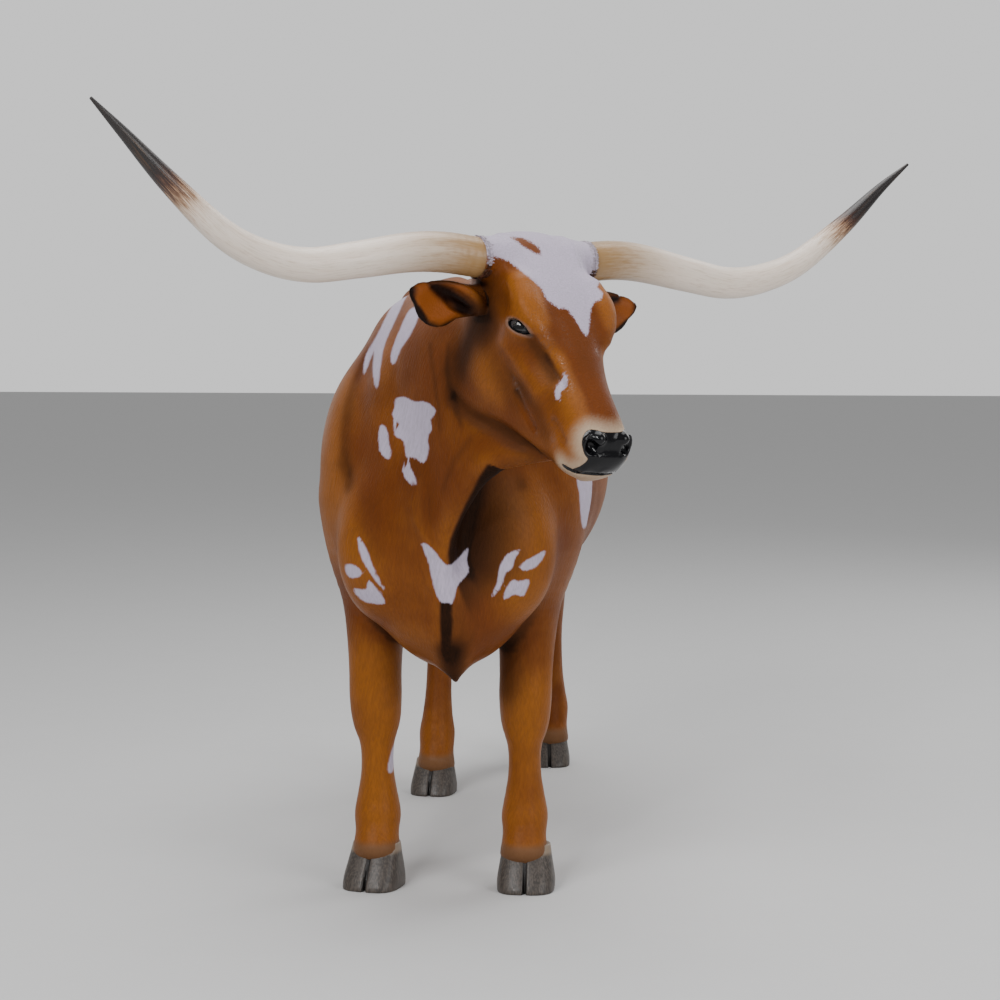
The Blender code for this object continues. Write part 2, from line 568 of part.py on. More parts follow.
def model_hoof(clay, place, size):
    """A hoof with a groove between its claws; the place's y runs up and its z to the toe."""
    rows = [(*(size * v for v in r[:5]), *r[5:]) for r in HOOF]
    clay.add(loft(rows, place), 0.002)
    front = [(0, -0.020, 0.076, 0.0035, 0.016), (0, 0.030, 0.062, 0.0030, 0.012),
             (0, 0.088, 0.030, 0.0020, 0.007)]
    back = [(0, -0.020, -0.085, 0.0070, 0.020), (0, 0.045, -0.078, 0.0060, 0.012)]
    for groove in (front, back):
        clay.carve(limb([tuple(size * v for v in r) for r in groove], (1, 0, 0), place), 0.006)


def add_object(name, mesh):
    thing = bpy.data.objects.new(name, mesh)
    bpy.context.collection.objects.link(thing)
    return thing


def settle(thing):
    """Turn an object's modifiers into its mesh."""
    bpy.context.view_layer.update()
    result = bpy.data.meshes.new_from_object(thing.evaluated_get(bpy.context.evaluated_depsgraph_get()))
    result.name = thing.name
    thing.modifiers.clear()
    thing.data = result


def simplify(thing, triangles):
    """Bring a clay mesh to about the given number of triangles."""
    count = sum(len(p.vertices) - 2 for p in thing.data.polygons)
    decimate = thing.modifiers.new("fewer faces", 'DECIMATE')
    decimate.ratio = min(1.0, triangles / count)
    decimate.use_collapse_triangulate = True
    settle(thing)


def combine(thing, cutter, operation):
    """Cut an object with a guide, or keep what lies inside the guide."""
    boolean = thing.modifiers.new("cut", 'BOOLEAN')
    boolean.operation = operation
    boolean.object = cutter
    settle(thing)


def guide(name, mesh):
    cutter = add_object(name, mesh)
    cutter.hide_render = True
    cutter.display_type = 'WIRE'
    return cutter


def slab(point, normal, gap):
    """A large block in front of a plane, which lies gap ahead of the point."""
    normal = Vector(normal).normalized()
    turn = normal.to_track_quat('Z', 'Y').to_matrix().to_4x4()
    size = 8.0
    middle = Vector(point) + normal * (gap + size / 2)
    form = bmesh.new()
    bmesh.ops.create_cube(form, size=size, matrix=Matrix.Translation(middle) @ turn)
    return finish_guide("plane guide", form)


def block(low, high, place=BODY):
    """A box between two corners in a place's own directions."""
    low, high = Vector(low), Vector(high)
    form = bmesh.new()
    bmesh.ops.create_cube(form, size=1.0)
    bmesh.ops.scale(form, vec=high - low, verts=form.verts)
    bmesh.ops.translate(form, vec=(low + high) / 2, verts=form.verts)
    bmesh.ops.transform(form, matrix=place.matrix(), verts=form.verts)
    return finish_guide("box guide", form)


def prism(outline, start, end, along, place=BODY):
    """An outline in the plane across x or y, extruded along that direction."""
    form = bmesh.new()
    rings = []
    for at in (start, end):
        rings.append([form.verts.new((at, a, b) if along == 'x' else (a, at, b)) for a, b in outline])
    form.faces.new(rings[0])
    form.faces.new(rings[1])
    for i in range(len(outline)):
        j = (i + 1) % len(outline)
        form.faces.new((rings[0][i], rings[0][j], rings[1][j], rings[1][i]))
    bmesh.ops.transform(form, matrix=place.matrix(), verts=form.verts)
    return finish_guide("prism guide", form)


def globe(place, radius):
    form = bmesh.new()
    bmesh.ops.create_uvsphere(form, u_segments=20, v_segments=12, radius=radius, matrix=place.matrix())
    bmesh.ops.recalc_face_normals(form, faces=form.faces)
    return form


def finish_guide(name, form):
    bmesh.ops.recalc_face_normals(form, faces=form.faces)
    mesh = bpy.data.meshes.new(name)
    form.to_mesh(mesh)
    form.free()
    return guide(name, mesh)


def keep_largest(thing):
    """Keep only the largest closed surface of an object, in triangles."""
    form = bmesh.new()
    form.from_mesh(thing.data)
    bmesh.ops.remove_doubles(form, verts=form.verts, dist=0.00002)
    bmesh.ops.dissolve_degenerate(form, edges=form.edges, dist=0.00005)
    bmesh.ops.triangulate(form, faces=form.faces)
    left = set(form.verts)
    groups = []
    while left:
        seed = left.pop()
        group, edge_of = {seed}, [seed]
        while edge_of:
            vertex = edge_of.pop()
            for link in vertex.link_edges:
                other = link.other_vert(vertex)
                if other in left:
                    left.discard(other)
                    group.add(other)
                    edge_of.append(other)
        groups.append(group)
    largest = max(groups, key=len)
    bmesh.ops.delete(form, geom=[v for v in form.verts if v not in largest], context='VERTS')
    bmesh.ops.recalc_face_normals(form, faces=form.faces)
    form.to_mesh(thing.data)
    form.free()


def paint(thing, colour, roughness):
    material = bpy.data.materials.new(thing.name)
    material.use_nodes = True
    principled = material.node_tree.nodes["Principled BSDF"]
    principled.inputs["Base Color"].default_value = (*colour, 1)
    principled.inputs["Roughness"].default_value = roughness
    principled.inputs["Metallic"].default_value = 0.0
    thing.data.materials.clear()
    thing.data.materials.append(material)
    thing.data.shade_smooth()
    thing.data.set_sharp_from_angle(angle=math.radians(40))


def flesh(name, low, high, grain, triangles, keep, remove, colour=(0.42, 0.13, 0.03), roughness=0.4):
    """One piece of the animal: clay in a window, simplified, then cut by its guides."""
    clay = Clay(even(low, high, grain))
    model_body(clay)
    model_head(clay)
    thing = add_object(name, clay.mesh(name))
    simplify(thing, triangles)
    for cutter in keep:
        combine(thing, cutter, 'INTERSECT')
    for cutter in remove:
        combine(thing, cutter, 'DIFFERENCE')
    keep_largest(thing)
    paint(thing, colour, roughness)
    for cutter in keep + remove:
        bpy.data.objects.remove(cutter)
    return thing


# The cuts. The head's outline runs down behind the poll, round the angle of the jaw and forward
# between the jaw and the dewlap. A plane is a point on it and its direction, towards the head.
HEAD_OUTLINE = [(-0.100, 0.25), (-0.088, 0.00), (-0.062, -0.055), (0.030, -0.29), (0.070, -0.305),
                (0.125, -0.296), (0.200, -0.258), (0.300, -0.206), (0.395, -0.150), (0.430, -0.25),
                (0.700, -0.25), (0.700, 0.25)]
SHOULDER_LINE = (Vector((0.03, -0.05, 1.02)), Vector((0.12, -0.86, 0.50)))
MUZZLE_LINE = (HEAD.world((0, MUZZLE_CUT, 0.030)), HEAD.turn @ Vector((0, 0.986, 0.164)))
FRONT_OUTLINE = [(0.030, -0.05), (0.085, 0.50), (0.125, 0.585), (0.40, 0.69), (0.40, -0.05)]
HIND_OUTLINE = [(0.85, -0.05), (0.85, 0.62), (1.70, 0.96), (1.70, -0.05)]


def behind(line):
    return slab(line[0], -line[1], 0)


def ahead(line, gap=0.0):
    return slab(line[0], line[1], gap)


def grown(outline, by):
    """An outline moved out by a small distance on every side."""
    count = len(outline)
    corners = [Vector(p) for p in outline]
    area = sum(a[0] * b[1] - a[1] * b[0] for a, b in zip(corners, corners[1:] + corners[:1]))
    sides = []
    for i in range(count):
        a, b = corners[i], corners[(i + 1) % count]
        normal = Vector((b[1] - a[1], a[0] - b[0])).normalized()
        if area < 0:
            normal = -normal
        sides.append((normal, normal.dot(a) + by))
    moved = []
    for i in range(count):
        (n, c), (m, d) = sides[i - 1], sides[i]
        area = n[0] * m[1] - n[1] * m[0]
        moved.append(((c * m[1] - d * n[1]) / area, (n[0] * d - m[0] * c) / area))
    return moved


def head_guide(by=0.0):
    return prism(grown(HEAD_OUTLINE, by), -0.30 - by, 0.30 + by, 'x', HEAD)


def front_guide(side, by=0.0):
    outline = [(side * a, b) for a, b in grown(FRONT_OUTLINE, by)]
    return prism(outline, -0.25 - by, 0.40 + by, 'y')


def hind_guide(side, by=0.0):
    outline = grown(HIND_OUTLINE, by)
    return prism(outline, side * (0.035 - by), side * (0.40 + by), 'x')


def ear_guide(side, by=0.0):
    low, high = (-0.060 - by, EAR_CUT - by, -0.050 - by), (0.060 + by, 0.24 + by, 0.050 + by)
    return block(low, high, ear_place(side))


def horn_root_guide(side):
    """Clears what lies beyond the flat end of a horn's root."""
    near, far = side * HORN_CUT, side * 0.22
    return block((min(near, far), -0.055, -0.055), (max(near, far), 0.055, 0.055), CROWN)


def socket_guide(side):
    return finish_guide("socket guide", globe(eye_place(side), EYE_RADIUS))


def build_head():
    remove = []
    for side in (-1, 1):
        remove += [ear_guide(side, GAP), horn_root_guide(side), socket_guide(side)]
    flesh("head", (-0.10, -0.72, 0.90), (0.56, 0.02, 1.52), 0.0065, 3650,
          [head_guide()], remove + [ahead(MUZZLE_LINE)])
    flesh("muzzle", (0.24, -0.64, 0.96), (0.50, -0.40, 1.16), 0.0045, 1200,
          [head_guide(), ahead(MUZZLE_LINE, GAP)], [], (0.03, 0.026, 0.024), 0.2)
    for side, name in ((1, "ear_left"), (-1, "ear_right")):
        place = ear_place(side)
        ends = np.array([tuple(place.world((0, y, 0))) for y in (EAR_CUT, 0.18)])
        flesh(name, ends.min(0) - 0.07, ends.max(0) + 0.07, 0.0045, 600,
              [ear_guide(side)], [], (0.40, 0.12, 0.03), 0.45)


def build_eyes():
    for side, name in ((1, "eye_left"), (-1, "eye_right")):
        form = globe(eye_place(side), EYE_RADIUS - GAP)
        mesh = bpy.data.meshes.new(name)
        form.to_mesh(mesh)
        form.free()
        paint(add_object(name, mesh), (0.01, 0.01, 0.012), 0.1)


def build_trunk():
    flesh("neck", (-0.36, -0.52, 0.70), (0.46, 0.32, 1.50), 0.012, 1300,
          [ahead(SHOULDER_LINE, GAP)], [head_guide(GAP), ear_guide(-1, GAP), ear_guide(1, GAP)])
    remove = [front_guide(-1, GAP), front_guide(1, GAP), hind_guide(-1, GAP), hind_guide(1, GAP),
              block((-0.07, 1.487, 0.25), (0.07, 1.75, TAIL_CUT))]
    flesh("torso", (-0.40, -0.32, 0.46), (0.40, 1.56, 1.46), 0.013, 3900, [behind(SHOULDER_LINE)], remove)


def build_legs():
    for side, word in ((1, "left"), (-1, "right")):
        toe = TOE_RIGHT_HIND if side < 0 else TOE_LEFT_HIND
        x0, x1 = sorted((0, side * 0.36))
        floor = slab((0, 0, HOOF_TOP + GAP), (0, 0, 1), 0)
        flesh(f"foreleg_{word}", (x0, -0.22, 0.04), (x1, 0.46, 0.74), 0.008, 1050,
              [front_guide(side), floor], [])
        floor = slab((0, 0, HOOF_TOP * HIND_HOOF + GAP), (0, 0, 1), 0)
        flesh(f"hindleg_{word}", (x0, 0.82, 0.04), (x1, 1.68, 1.00), 0.008, 1250,
              [hind_guide(side), floor], [])


def build_hooves():
    upright = Matrix(((1, 0, 0), (0, 0, 1), (0, -1, 0))).transposed()
    for name, x, toe, outward, size in FEET:
        turn = Matrix.Rotation(math.radians(outward), 3, 'Z')
        middle = Vector((x, toe, 0)) + turn @ Vector((0, 0.073 * size, 0))
        clay = Clay(even(middle - Vector((0.10, 0.12, 0.02)), middle + Vector((0.10, 0.12, 0.12)), 0.0045))
        model_hoof(clay, Place(middle, turn @ upright), size)
        thing = add_object(name, clay.mesh(name))
        simplify(thing, 400)
        cutter = block((-1, -1, 0), (1, 3, HOOF_TOP * size))
        combine(thing, cutter, 'INTERSECT')
        bpy.data.objects.remove(cutter)
        keep_largest(thing)
        paint(thing, (0.045, 0.038, 0.032), 0.5)


def tube(name, points, sizes, directions, across, sides, ridges=0.0):
    """A round bar through the points; ridges raises lock-like ribs along it."""
    form = bmesh.new()
    rings = []
    for point, (wide, deep), along in zip(points, sizes, directions):
        u = (across - across.dot(along) * along).normalized()
        v = along.cross(u)
        ring = []
        for i in range(sides):
            angle = 2 * math.pi * i / sides
            swell = 1 + ridges * (1 if i % 2 else -1)
            spoke = wide * math.cos(angle) * u + deep * math.sin(angle) * v
            ring.append(form.verts.new(point + swell * spoke))
        rings.append(ring)
    for a, b in zip(rings, rings[1:]):
        for i in range(sides):
            j = (i + 1) % sides
            form.faces.new((a[i], a[j], b[j], b[i]))
    form.faces.new(rings[0])
    form.faces.new(rings[-1])
    bmesh.ops.recalc_face_normals(form, faces=form.faces)
    mesh = bpy.data.meshes.new(name)
    form.to_mesh(mesh)
    form.free()
    return add_object(name, mesh)


def path(stations, steps, place, start):
    """Points, sizes and directions along smooth stations; the first direction is given."""
    rows = spline(stations, np.linspace(0, len(stations) - 1, steps))
    points = [place.world(row[:3]) for row in rows]
    directions = [start]
    for i in range(1, len(points)):
        last = points[min(i + 1, len(points) - 1)]
        directions.append((last - points[i - 1]).normalized())
    return points, rows[:, 3:5].tolist(), directions


def build_horns():
    for side, name in ((1, "horn_left"), (-1, "horn_right")):
        stations = [(side * r[0], r[1], r[2], r[3], r[3]) for r in HORN]
        outward = (CROWN.turn @ Vector((side, 0, 0))).normalized()
        points, sizes, directions = path(stations, 28, CROWN, outward)
        horn = tube(name, points, sizes, directions, CROWN.turn @ Vector((0, 0, 1)), 16)
        paint(horn, (0.72, 0.64, 0.46), 0.35)


def build_tail():
    rows = [(0, 1.5185, TAIL_CUT - GAP, 0.0215, 0.0215)] + TAIL[4:]
    points, sizes, directions = path(rows, 18, BODY, Vector((0, 0, -1)))
    directions[-1] = Vector((0, 0, -1))
    paint(tube("tail", points, sizes, directions, Vector((1, 0, 0)), 14), (0.36, 0.11, 0.03), 0.45)
    points, sizes, directions = path(SWITCH, 18, BODY, Vector((0, 0, -1)))
    switch = tube("tail_switch", points, sizes, directions, Vector((1, 0, 0)), 18, 0.06)
    paint(switch, (0.12, 0.05, 0.02), 0.5)


def centre_on_floor():
    """Put the middle of the statue's box, at floor height, on the world's origin."""
    bpy.context.view_layer.update()
    things = [o for o in bpy.data.objects if o.type == 'MESH']
    corners = [o.matrix_world @ v.co for o in things for v in o.data.vertices]
    middle = [(min(c[i] for c in corners) + max(c[i] for c in corners)) / 2 for i in range(2)]
    for thing in things:
        thing.data.transform(Matrix.Translation((-middle[0], -middle[1], 0)))
    print("centred by", middle)


def main():
    for thing in list(bpy.data.objects):
        bpy.data.objects.remove(thing)
    build_head()
    build_eyes()
    build_trunk()
    build_legs()
    build_hooves()
    build_horns()
    build_tail()
    centre_on_floor()


main()
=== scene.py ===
"""The looks of a life-size painted fibreglass statue of a Texas longhorn steer.

The animal faces -Y with its head turned to its left. One skin, modelled like clay from rounded
masses, covers the whole body. Horns, hooves, eyes and the tail's switch are pieces of their own.
"""

import math

import bmesh
import bpy
import numpy as np
import openvdb
from mathutils import Matrix, Vector


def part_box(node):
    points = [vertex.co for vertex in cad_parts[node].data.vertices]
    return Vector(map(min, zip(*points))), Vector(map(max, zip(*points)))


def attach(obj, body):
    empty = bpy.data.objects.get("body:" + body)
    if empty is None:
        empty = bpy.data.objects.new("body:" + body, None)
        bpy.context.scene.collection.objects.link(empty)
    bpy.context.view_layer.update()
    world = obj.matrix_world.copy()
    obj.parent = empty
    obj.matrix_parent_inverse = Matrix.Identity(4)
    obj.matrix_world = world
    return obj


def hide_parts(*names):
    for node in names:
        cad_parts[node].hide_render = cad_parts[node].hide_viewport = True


bl_info = {
    "name": "Longhorn statue",
    "version": (1, 0, 0),
    "blender": (4, 5, 0),
    "location": "3D View > Sidebar > Longhorn",
    "description": "Builds the painted skin, horns, hooves, eyes and tail of a longhorn statue",
    "category": "Object",
}

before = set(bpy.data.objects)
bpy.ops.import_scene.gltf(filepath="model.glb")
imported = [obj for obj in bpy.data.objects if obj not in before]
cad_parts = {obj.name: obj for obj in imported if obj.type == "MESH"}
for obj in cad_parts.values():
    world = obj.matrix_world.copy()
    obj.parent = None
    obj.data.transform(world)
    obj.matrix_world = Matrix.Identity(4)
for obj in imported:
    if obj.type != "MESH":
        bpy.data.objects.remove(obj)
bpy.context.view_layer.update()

GAP = 0.0003  # between neighbouring pieces
FAR = 0.5  # field value well outside the clay

# The head: the middle of the horn roots, and how the head is turned from straight ahead.
POLL = Vector((0.203, -0.292, 1.410))
HEAD_YAW = math.radians(39.7)
HEAD_ROLL = math.radians(2.3)
HEAD_PITCH = math.radians(51.9)
EYE_PLACE = (0.0906, 0.1705, -0.0075)
EYE_RADIUS = 0.0265
EAR_ROOT = (0.098, 0.050, -0.085)
HORN_CUT = 0.135  # from the middle of the head

# The legs: where the toes stand.
TOE_FRONT = 0.0
TOE_RIGHT_HIND = 1.035
TOE_LEFT_HIND = 1.443
FORELEG_SHIFT = -0.004
HOOF_TOP = 0.0885
HIND_HOOF = 0.90  # size of a hind hoof against a front one

# Torso stations: y, underside, topline, height of the widest place, half width,
# squareness above and below.
TORSO = [
    (-0.155, 0.860, 0.900, 0.880, 0.020, 2.00, 2.0),
    (-0.120, 0.720, 1.030, 0.880, 0.120, 2.00, 2.0),
    (-0.040, 0.600, 1.200, 0.880, 0.200, 1.90, 2.0),
    (0.080, 0.565, 1.300, 0.880, 0.250, 1.55, 2.0),
    (0.220, 0.575, 1.355, 0.880, 0.270, 1.45, 2.1),
    (0.420, 0.585, 1.350, 0.900, 0.300, 1.60, 2.2),
    (0.650, 0.600, 1.332, 0.900, 0.328, 1.80, 2.1),
    (0.850, 0.635, 1.335, 0.920, 0.312, 1.80, 2.1),
    (1.020, 0.710, 1.350, 0.980, 0.265, 1.80, 2.1),
    (1.160, 0.790, 1.362, 1.030, 0.245, 1.90, 2.1),
    (1.280, 0.840, 1.362, 1.060, 0.225, 2.10, 2.2),
    (1.380, 0.900, 1.335, 1.100, 0.195, 2.20, 2.2),
    (1.450, 1.000, 1.270, 1.130, 0.120, 2.00, 2.0),
    (1.475, 1.120, 1.160, 1.140, 0.020, 2.00, 2.0),
]

# Limb stations: x, y, z, half width, half depth.
NECK = [
    (-0.02, 0.20, 1.05, 0.190, 0.300),
    (0.005, 0.05, 1.11, 0.165, 0.235),
    (0.06, -0.08, 1.17, 0.138, 0.185),
    (0.13, -0.17, 1.235, 0.118, 0.155),
    (0.18, -0.24, 1.300, 0.102, 0.132),
]
FORELEG = [
    (0.167, 0.082, 0.080, 0.0540, 0.058),
    (0.167, 0.095, 0.120, 0.0490, 0.052),
    (0.167, 0.108, 0.160, 0.0525, 0.056),
    (0.167, 0.108, 0.205, 0.0450, 0.048),
    (0.167, 0.105, 0.260, 0.0370, 0.041),
    (0.167, 0.102, 0.320, 0.0385, 0.042),
    (0.168, 0.098, 0.375, 0.0540, 0.052),
    (0.169, 0.094, 0.430, 0.0590, 0.060),
    (0.170, 0.098, 0.490, 0.0595, 0.060),
    (0.171, 0.112, 0.560, 0.0640, 0.078),
    (0.170, 0.132, 0.640, 0.0770, 0.105),
    (0.172, 0.150, 0.740, 0.1000, 0.140),
    (0.172, 0.165, 0.860, 0.1150, 0.175),
]
TAIL = [
    (0, 1.360, 1.335, 0.0400, 0.0300),
    (0, 1.435, 1.325, 0.0340, 0.0300),
    (0, 1.495, 1.265, 0.0270, 0.0260),
    (0, 1.520, 1.160, 0.0210, 0.0210),
    (0, 1.530, 1.000, 0.0170, 0.0170),
    (0, 1.532, 0.820, 0.0145, 0.0145),
    (0, 1.532, 0.660, 0.0140, 0.0140),
]
SWITCH = [
    (0, 1.532, 0.6597, 0.0140, 0.0140),
    (0, 1.532, 0.600, 0.0240, 0.0240),
    (0, 1.534, 0.520, 0.0360, 0.0340),
    (0, 1.536, 0.440, 0.0380, 0.0360),
    (0, 1.536, 0.375, 0.0260, 0.0260),
    (0, 1.534, 0.330, 0.0060, 0.0060),
]

# The dewlap: its free edge, the place inside the neck it hangs from, and its half thickness.
DEWLAP = [
    ((0.252, -0.380, 1.015), (0.240, -0.330, 1.12), 0.034),
    ((0.185, -0.345, 1.000), (0.175, -0.270, 1.16), 0.046),
    ((0.132, -0.318, 0.985), (0.105, -0.200, 1.17), 0.054),
    ((0.095, -0.285, 0.955), (0.050, -0.140, 1.14), 0.060),
    ((0.061, -0.250, 0.905), (-0.005, -0.080, 1.08), 0.060),
    ((0.029, -0.212, 0.838), (-0.040, -0.020, 0.98), 0.058),
    ((0.014, -0.182, 0.760), (-0.040, 0.000, 0.88), 0.055),
    ((0.008, -0.165, 0.683), (-0.020, 0.010, 0.78), 0.055),
    ((0.008, -0.140, 0.590), (0.000, 0.020, 0.68), 0.050),
    ((0.016, -0.105, 0.532), (0.010, 0.000, 0.61), 0.035),
]

# The hollow on the left of the dewlap: x, y, z and radii.
HOLLOW = [
    (0.172, -0.230, 0.985, 0.016, 0.016),
    (0.140, -0.213, 0.950, 0.026, 0.026),
    (0.108, -0.185, 0.895, 0.029, 0.029),
    (0.074, -0.160, 0.830, 0.025, 0.025),
    (0.050, -0.145, 0.765, 0.015, 0.015),
]
# Creases in the skin: before the shoulder, behind the cheek and in the bend of the neck.
GROOVES = [
    [(-0.190, 0.097, 1.200), (-0.207, 0.057, 1.130), (-0.222, 0.019, 1.060), (-0.224, -0.008, 0.985),
     (-0.212, -0.043, 0.920)],
    [(0.190, -0.108, 1.020), (0.185, -0.118, 0.970), (0.178, -0.098, 0.920)],
    [(0.215, -0.098, 1.020), (0.210, -0.103, 0.970), (0.200, -0.083, 0.930)],
]
# Creases of the face, for the left side: radius, softness and line. They run below the eye, along
# the cheek, above the mouth and round the jaw.
FACE_GROOVES = [
    (0.002, 0.016, [(0.099, 0.218, 0.020), (0.085, 0.240, 0.012), (0.070, 0.260, 0.004),
                    (0.060, 0.295, 0.002), (0.055, 0.319, 0.000)]),
    (0.002, 0.014, [(0.081, 0.259, -0.110), (0.073, 0.308, -0.115), (0.066, 0.345, -0.115)]),
    (0.002, 0.014, [(0.067, 0.366, -0.054), (0.068, 0.403, -0.049), (0.069, 0.425, -0.045)]),
    (0.004, 0.030, [(0.100, 0.150, -0.280), (0.093, 0.192, -0.264), (0.080, 0.230, -0.245),
                    (0.062, 0.280, -0.214), (0.048, 0.323, -0.194), (0.034, 0.358, -0.176)]),
]

# Head stations: distance from the poll towards the nose, underside, forehead line, height of
# the widest place, half width, squareness above and below.
SKULL = [
    (-0.080, -0.060, -0.020, -0.040, 0.030, 2.2, 2.0),
    (-0.055, -0.110, 0.024, -0.030, 0.085, 2.4, 2.0),
    (-0.015, -0.150, 0.047, -0.020, 0.106, 2.8, 2.0),
    (0.040, -0.190, 0.053, -0.010, 0.104, 3.0, 2.0),
    (0.100, -0.215, 0.056, 0.000, 0.106, 3.0, 2.0),
    (0.155, -0.225, 0.054, 0.010, 0.108, 3.0, 2.0),
    (0.190, -0.225, 0.050, 0.000, 0.100, 2.7, 2.0),
    (0.230, -0.210, 0.045, -0.015, 0.083, 2.4, 2.0),
    (0.280, -0.185, 0.040, -0.030, 0.069, 2.2, 2.0),
    (0.330, -0.160, 0.036, -0.035, 0.060, 2.1, 2.2),
    (0.380, -0.137, 0.033, -0.040, 0.057, 2.2, 2.4),
    (0.415, -0.126, 0.029, -0.045, 0.059, 2.4, 2.6),
    (0.440, -0.119, 0.020, -0.048, 0.060, 2.7, 2.4),
    (0.460, -0.111, 0.007, -0.040, 0.060, 3.0, 2.0),
    (0.475, -0.102, -0.008, -0.036, 0.054, 3.0, 1.8),
    (0.485, -0.093, -0.016, -0.038, 0.043, 2.8, 1.9),
    (0.492, -0.080, -0.027, -0.042, 0.027, 2.4, 2.0),
    (0.497, -0.064, -0.040, -0.048, 0.009, 2.2, 2.2),
]
JAW = [
    (0.020, -0.200, -0.050, -0.120, 0.045, 2.2, 2.2),
    (0.060, -0.245, -0.020, -0.130, 0.075, 2.2, 2.4),
    (0.120, -0.268, 0.000, -0.140, 0.088, 2.2, 2.6),
    (0.180, -0.262, 0.000, -0.130, 0.089, 2.2, 2.8),
    (0.240, -0.232, 0.000, -0.120, 0.081, 2.2, 2.8),
    (0.300, -0.198, 0.000, -0.100, 0.073, 2.2, 2.8),
    (0.360, -0.163, 0.000, -0.085, 0.066, 2.2, 2.8),
    (0.420, -0.134, 0.000, -0.078, 0.056, 2.2, 2.6),
    (0.450, -0.117, -0.010, -0.080, 0.044, 2.2, 2.4),
    (0.472, -0.103, -0.030, -0.080, 0.026, 2.2, 2.2),
]
LIP = [
    (0.066, 0.458, -0.085),
    (0.047, 0.475, -0.072),
    (0.034, 0.485, -0.062),
    (0.017, 0.490, -0.058),
    (0.000, 0.492, -0.056),
]
# Low ridges of the head on its left side: x, y, z, half width, half depth.
BROW = [
    (0.092, 0.100, 0.036, 0.014, 0.014),
    (0.098, 0.145, 0.036, 0.018, 0.018),
    (0.092, 0.190, 0.030, 0.016, 0.016),
    (0.078, 0.220, 0.022, 0.010, 0.010),
]
CHEEKBONE = [
    (0.093, 0.180, -0.045, 0.012, 0.012),
    (0.083, 0.230, -0.048, 0.012, 0.012),
    (0.066, 0.290, -0.050, 0.010, 0.010),
]
HORN_ROOT = [(0.08, 0, 0, 0.0450, 0.0450), (0.14, 0, 0, 0.0425, 0.0425)]
NOSTRIL_SLIT = [
    (0.036, 0.470, -0.010, 0.004, 0.004),
    (0.028, 0.478, -0.011, 0.0035, 0.0035),
    (0.023, 0.483, -0.008, 0.002, 0.002),
]
NOSTRIL_RIM = [
    (0.050, 0.447, 0.010),
    (0.057, 0.452, 0.001),
    (0.058, 0.459, -0.009),
    (0.053, 0.467, -0.018),
    (0.043, 0.474, -0.021),
    (0.033, 0.478, -0.014),
]

# The ear: towards the upper edge, out along the ear, into the cup, half width, half thickness.
EAR = [
    (0.003, -0.030, -0.006, 0.030, 0.030),
    (0.004, 0.005, -0.002, 0.031, 0.028),
    (0.002, 0.040, 0.000, 0.034, 0.022),
    (-0.001, 0.075, 0.000, 0.039, 0.017),
    (-0.009, 0.108, 0.000, 0.048, 0.014),
    (-0.006, 0.136, 0.001, 0.044, 0.012),
    (0.005, 0.160, 0.003, 0.030, 0.010),
    (0.010, 0.178, 0.005, 0.019, 0.008),
    (0.014, 0.189, 0.006, 0.007, 0.005),
]
EAR_ROLL = [
    (-0.014, 0.012, 0.019, 0.012, 0.012),
    (0.008, 0.036, 0.024, 0.012, 0.012),
    (0.025, 0.066, 0.020, 0.010, 0.010),
    (0.033, 0.100, 0.013, 0.007, 0.007),
    (0.031, 0.140, 0.008, 0.005, 0.005),
]
EAR_HOLE = [
    (-0.022, 0.040, 0.018, 0.008, 0.012),
    (-0.010, 0.075, 0.012, 0.012, 0.014),
    (0.006, 0.105, 0.014, 0.010, 0.010),
    (0.022, 0.138, 0.014, 0.004, 0.006),
]
EAR_OUT = {1: (1.0, 0.090, 0.035), -1: (-1.0, 0.020, 0.085)}  # each ear's direction in the head

# The horn: sideways, forward, rise, radius.
HORN = [
    (HORN_CUT + GAP, 0.000, 0.000, 0.0415),
    (0.220, -0.006, 0.007, 0.0413),
    (0.300, -0.010, 0.003, 0.0400),
    (0.420, -0.008, -0.016, 0.0370),
    (0.530, -0.007, -0.030, 0.0345),
    (0.630, -0.005, -0.017, 0.0318),
    (0.730, 0.004, 0.023, 0.0280),
    (0.850, 0.014, 0.111, 0.0213),
    (0.950, 0.020, 0.196, 0.0115),
    (1.024, 0.030, 0.255, 0.0030),
]

# The hoof: height, heel, toe, height of the widest place, half width, squareness of toe and heel.
HOOF = [
    (-0.010, -0.079, 0.073, 0.000, 0.0630, 3.2, 2.4),
    (0.004, -0.079, 0.073, 0.000, 0.0645, 3.2, 2.4),
    (0.025, -0.077, 0.064, 0.000, 0.0650, 3.0, 2.4),
    (0.055, -0.072, 0.046, -0.005, 0.0605, 2.8, 2.4),
    (0.075, -0.068, 0.033, -0.010, 0.0575, 2.6, 2.2),
    (0.086, -0.066, 0.026, -0.012, 0.0560, 2.5, 2.2),
    (0.100, -0.062, 0.018, -0.014, 0.0540, 2.4, 2.2),
]

# The feet: node, middle of the toe across the body, toe, turn outwards in degrees, size.
FEET = [
    ("hoof_front_left", 0.1685, TOE_FRONT, 0, 1.0),
    ("hoof_front_right", -0.192, TOE_FRONT, -14, 1.0),
    ("hoof_hind_left", 0.142, TOE_LEFT_HIND, 6, HIND_HOOF),
    ("hoof_hind_right", -0.154, TOE_RIGHT_HIND, -8, HIND_HOOF),
]

# The photograph's camera, in the frame the clay is modelled in: its place, how it is turned, and
# its focal length against the picture's width. Markings that the photograph shows are outlined
# in its pixels and painted from this camera.
CAMERA_PLACE = Vector((0.554, -5.691, 1.430))
CAMERA_YAW = math.radians(4.41)
CAMERA_PITCH = math.radians(5.463)
CAMERA_FOCAL = 2.614
PICTURE = 1000.0
PHOTO_REACH = 0.42  # how far back its outlines are painted

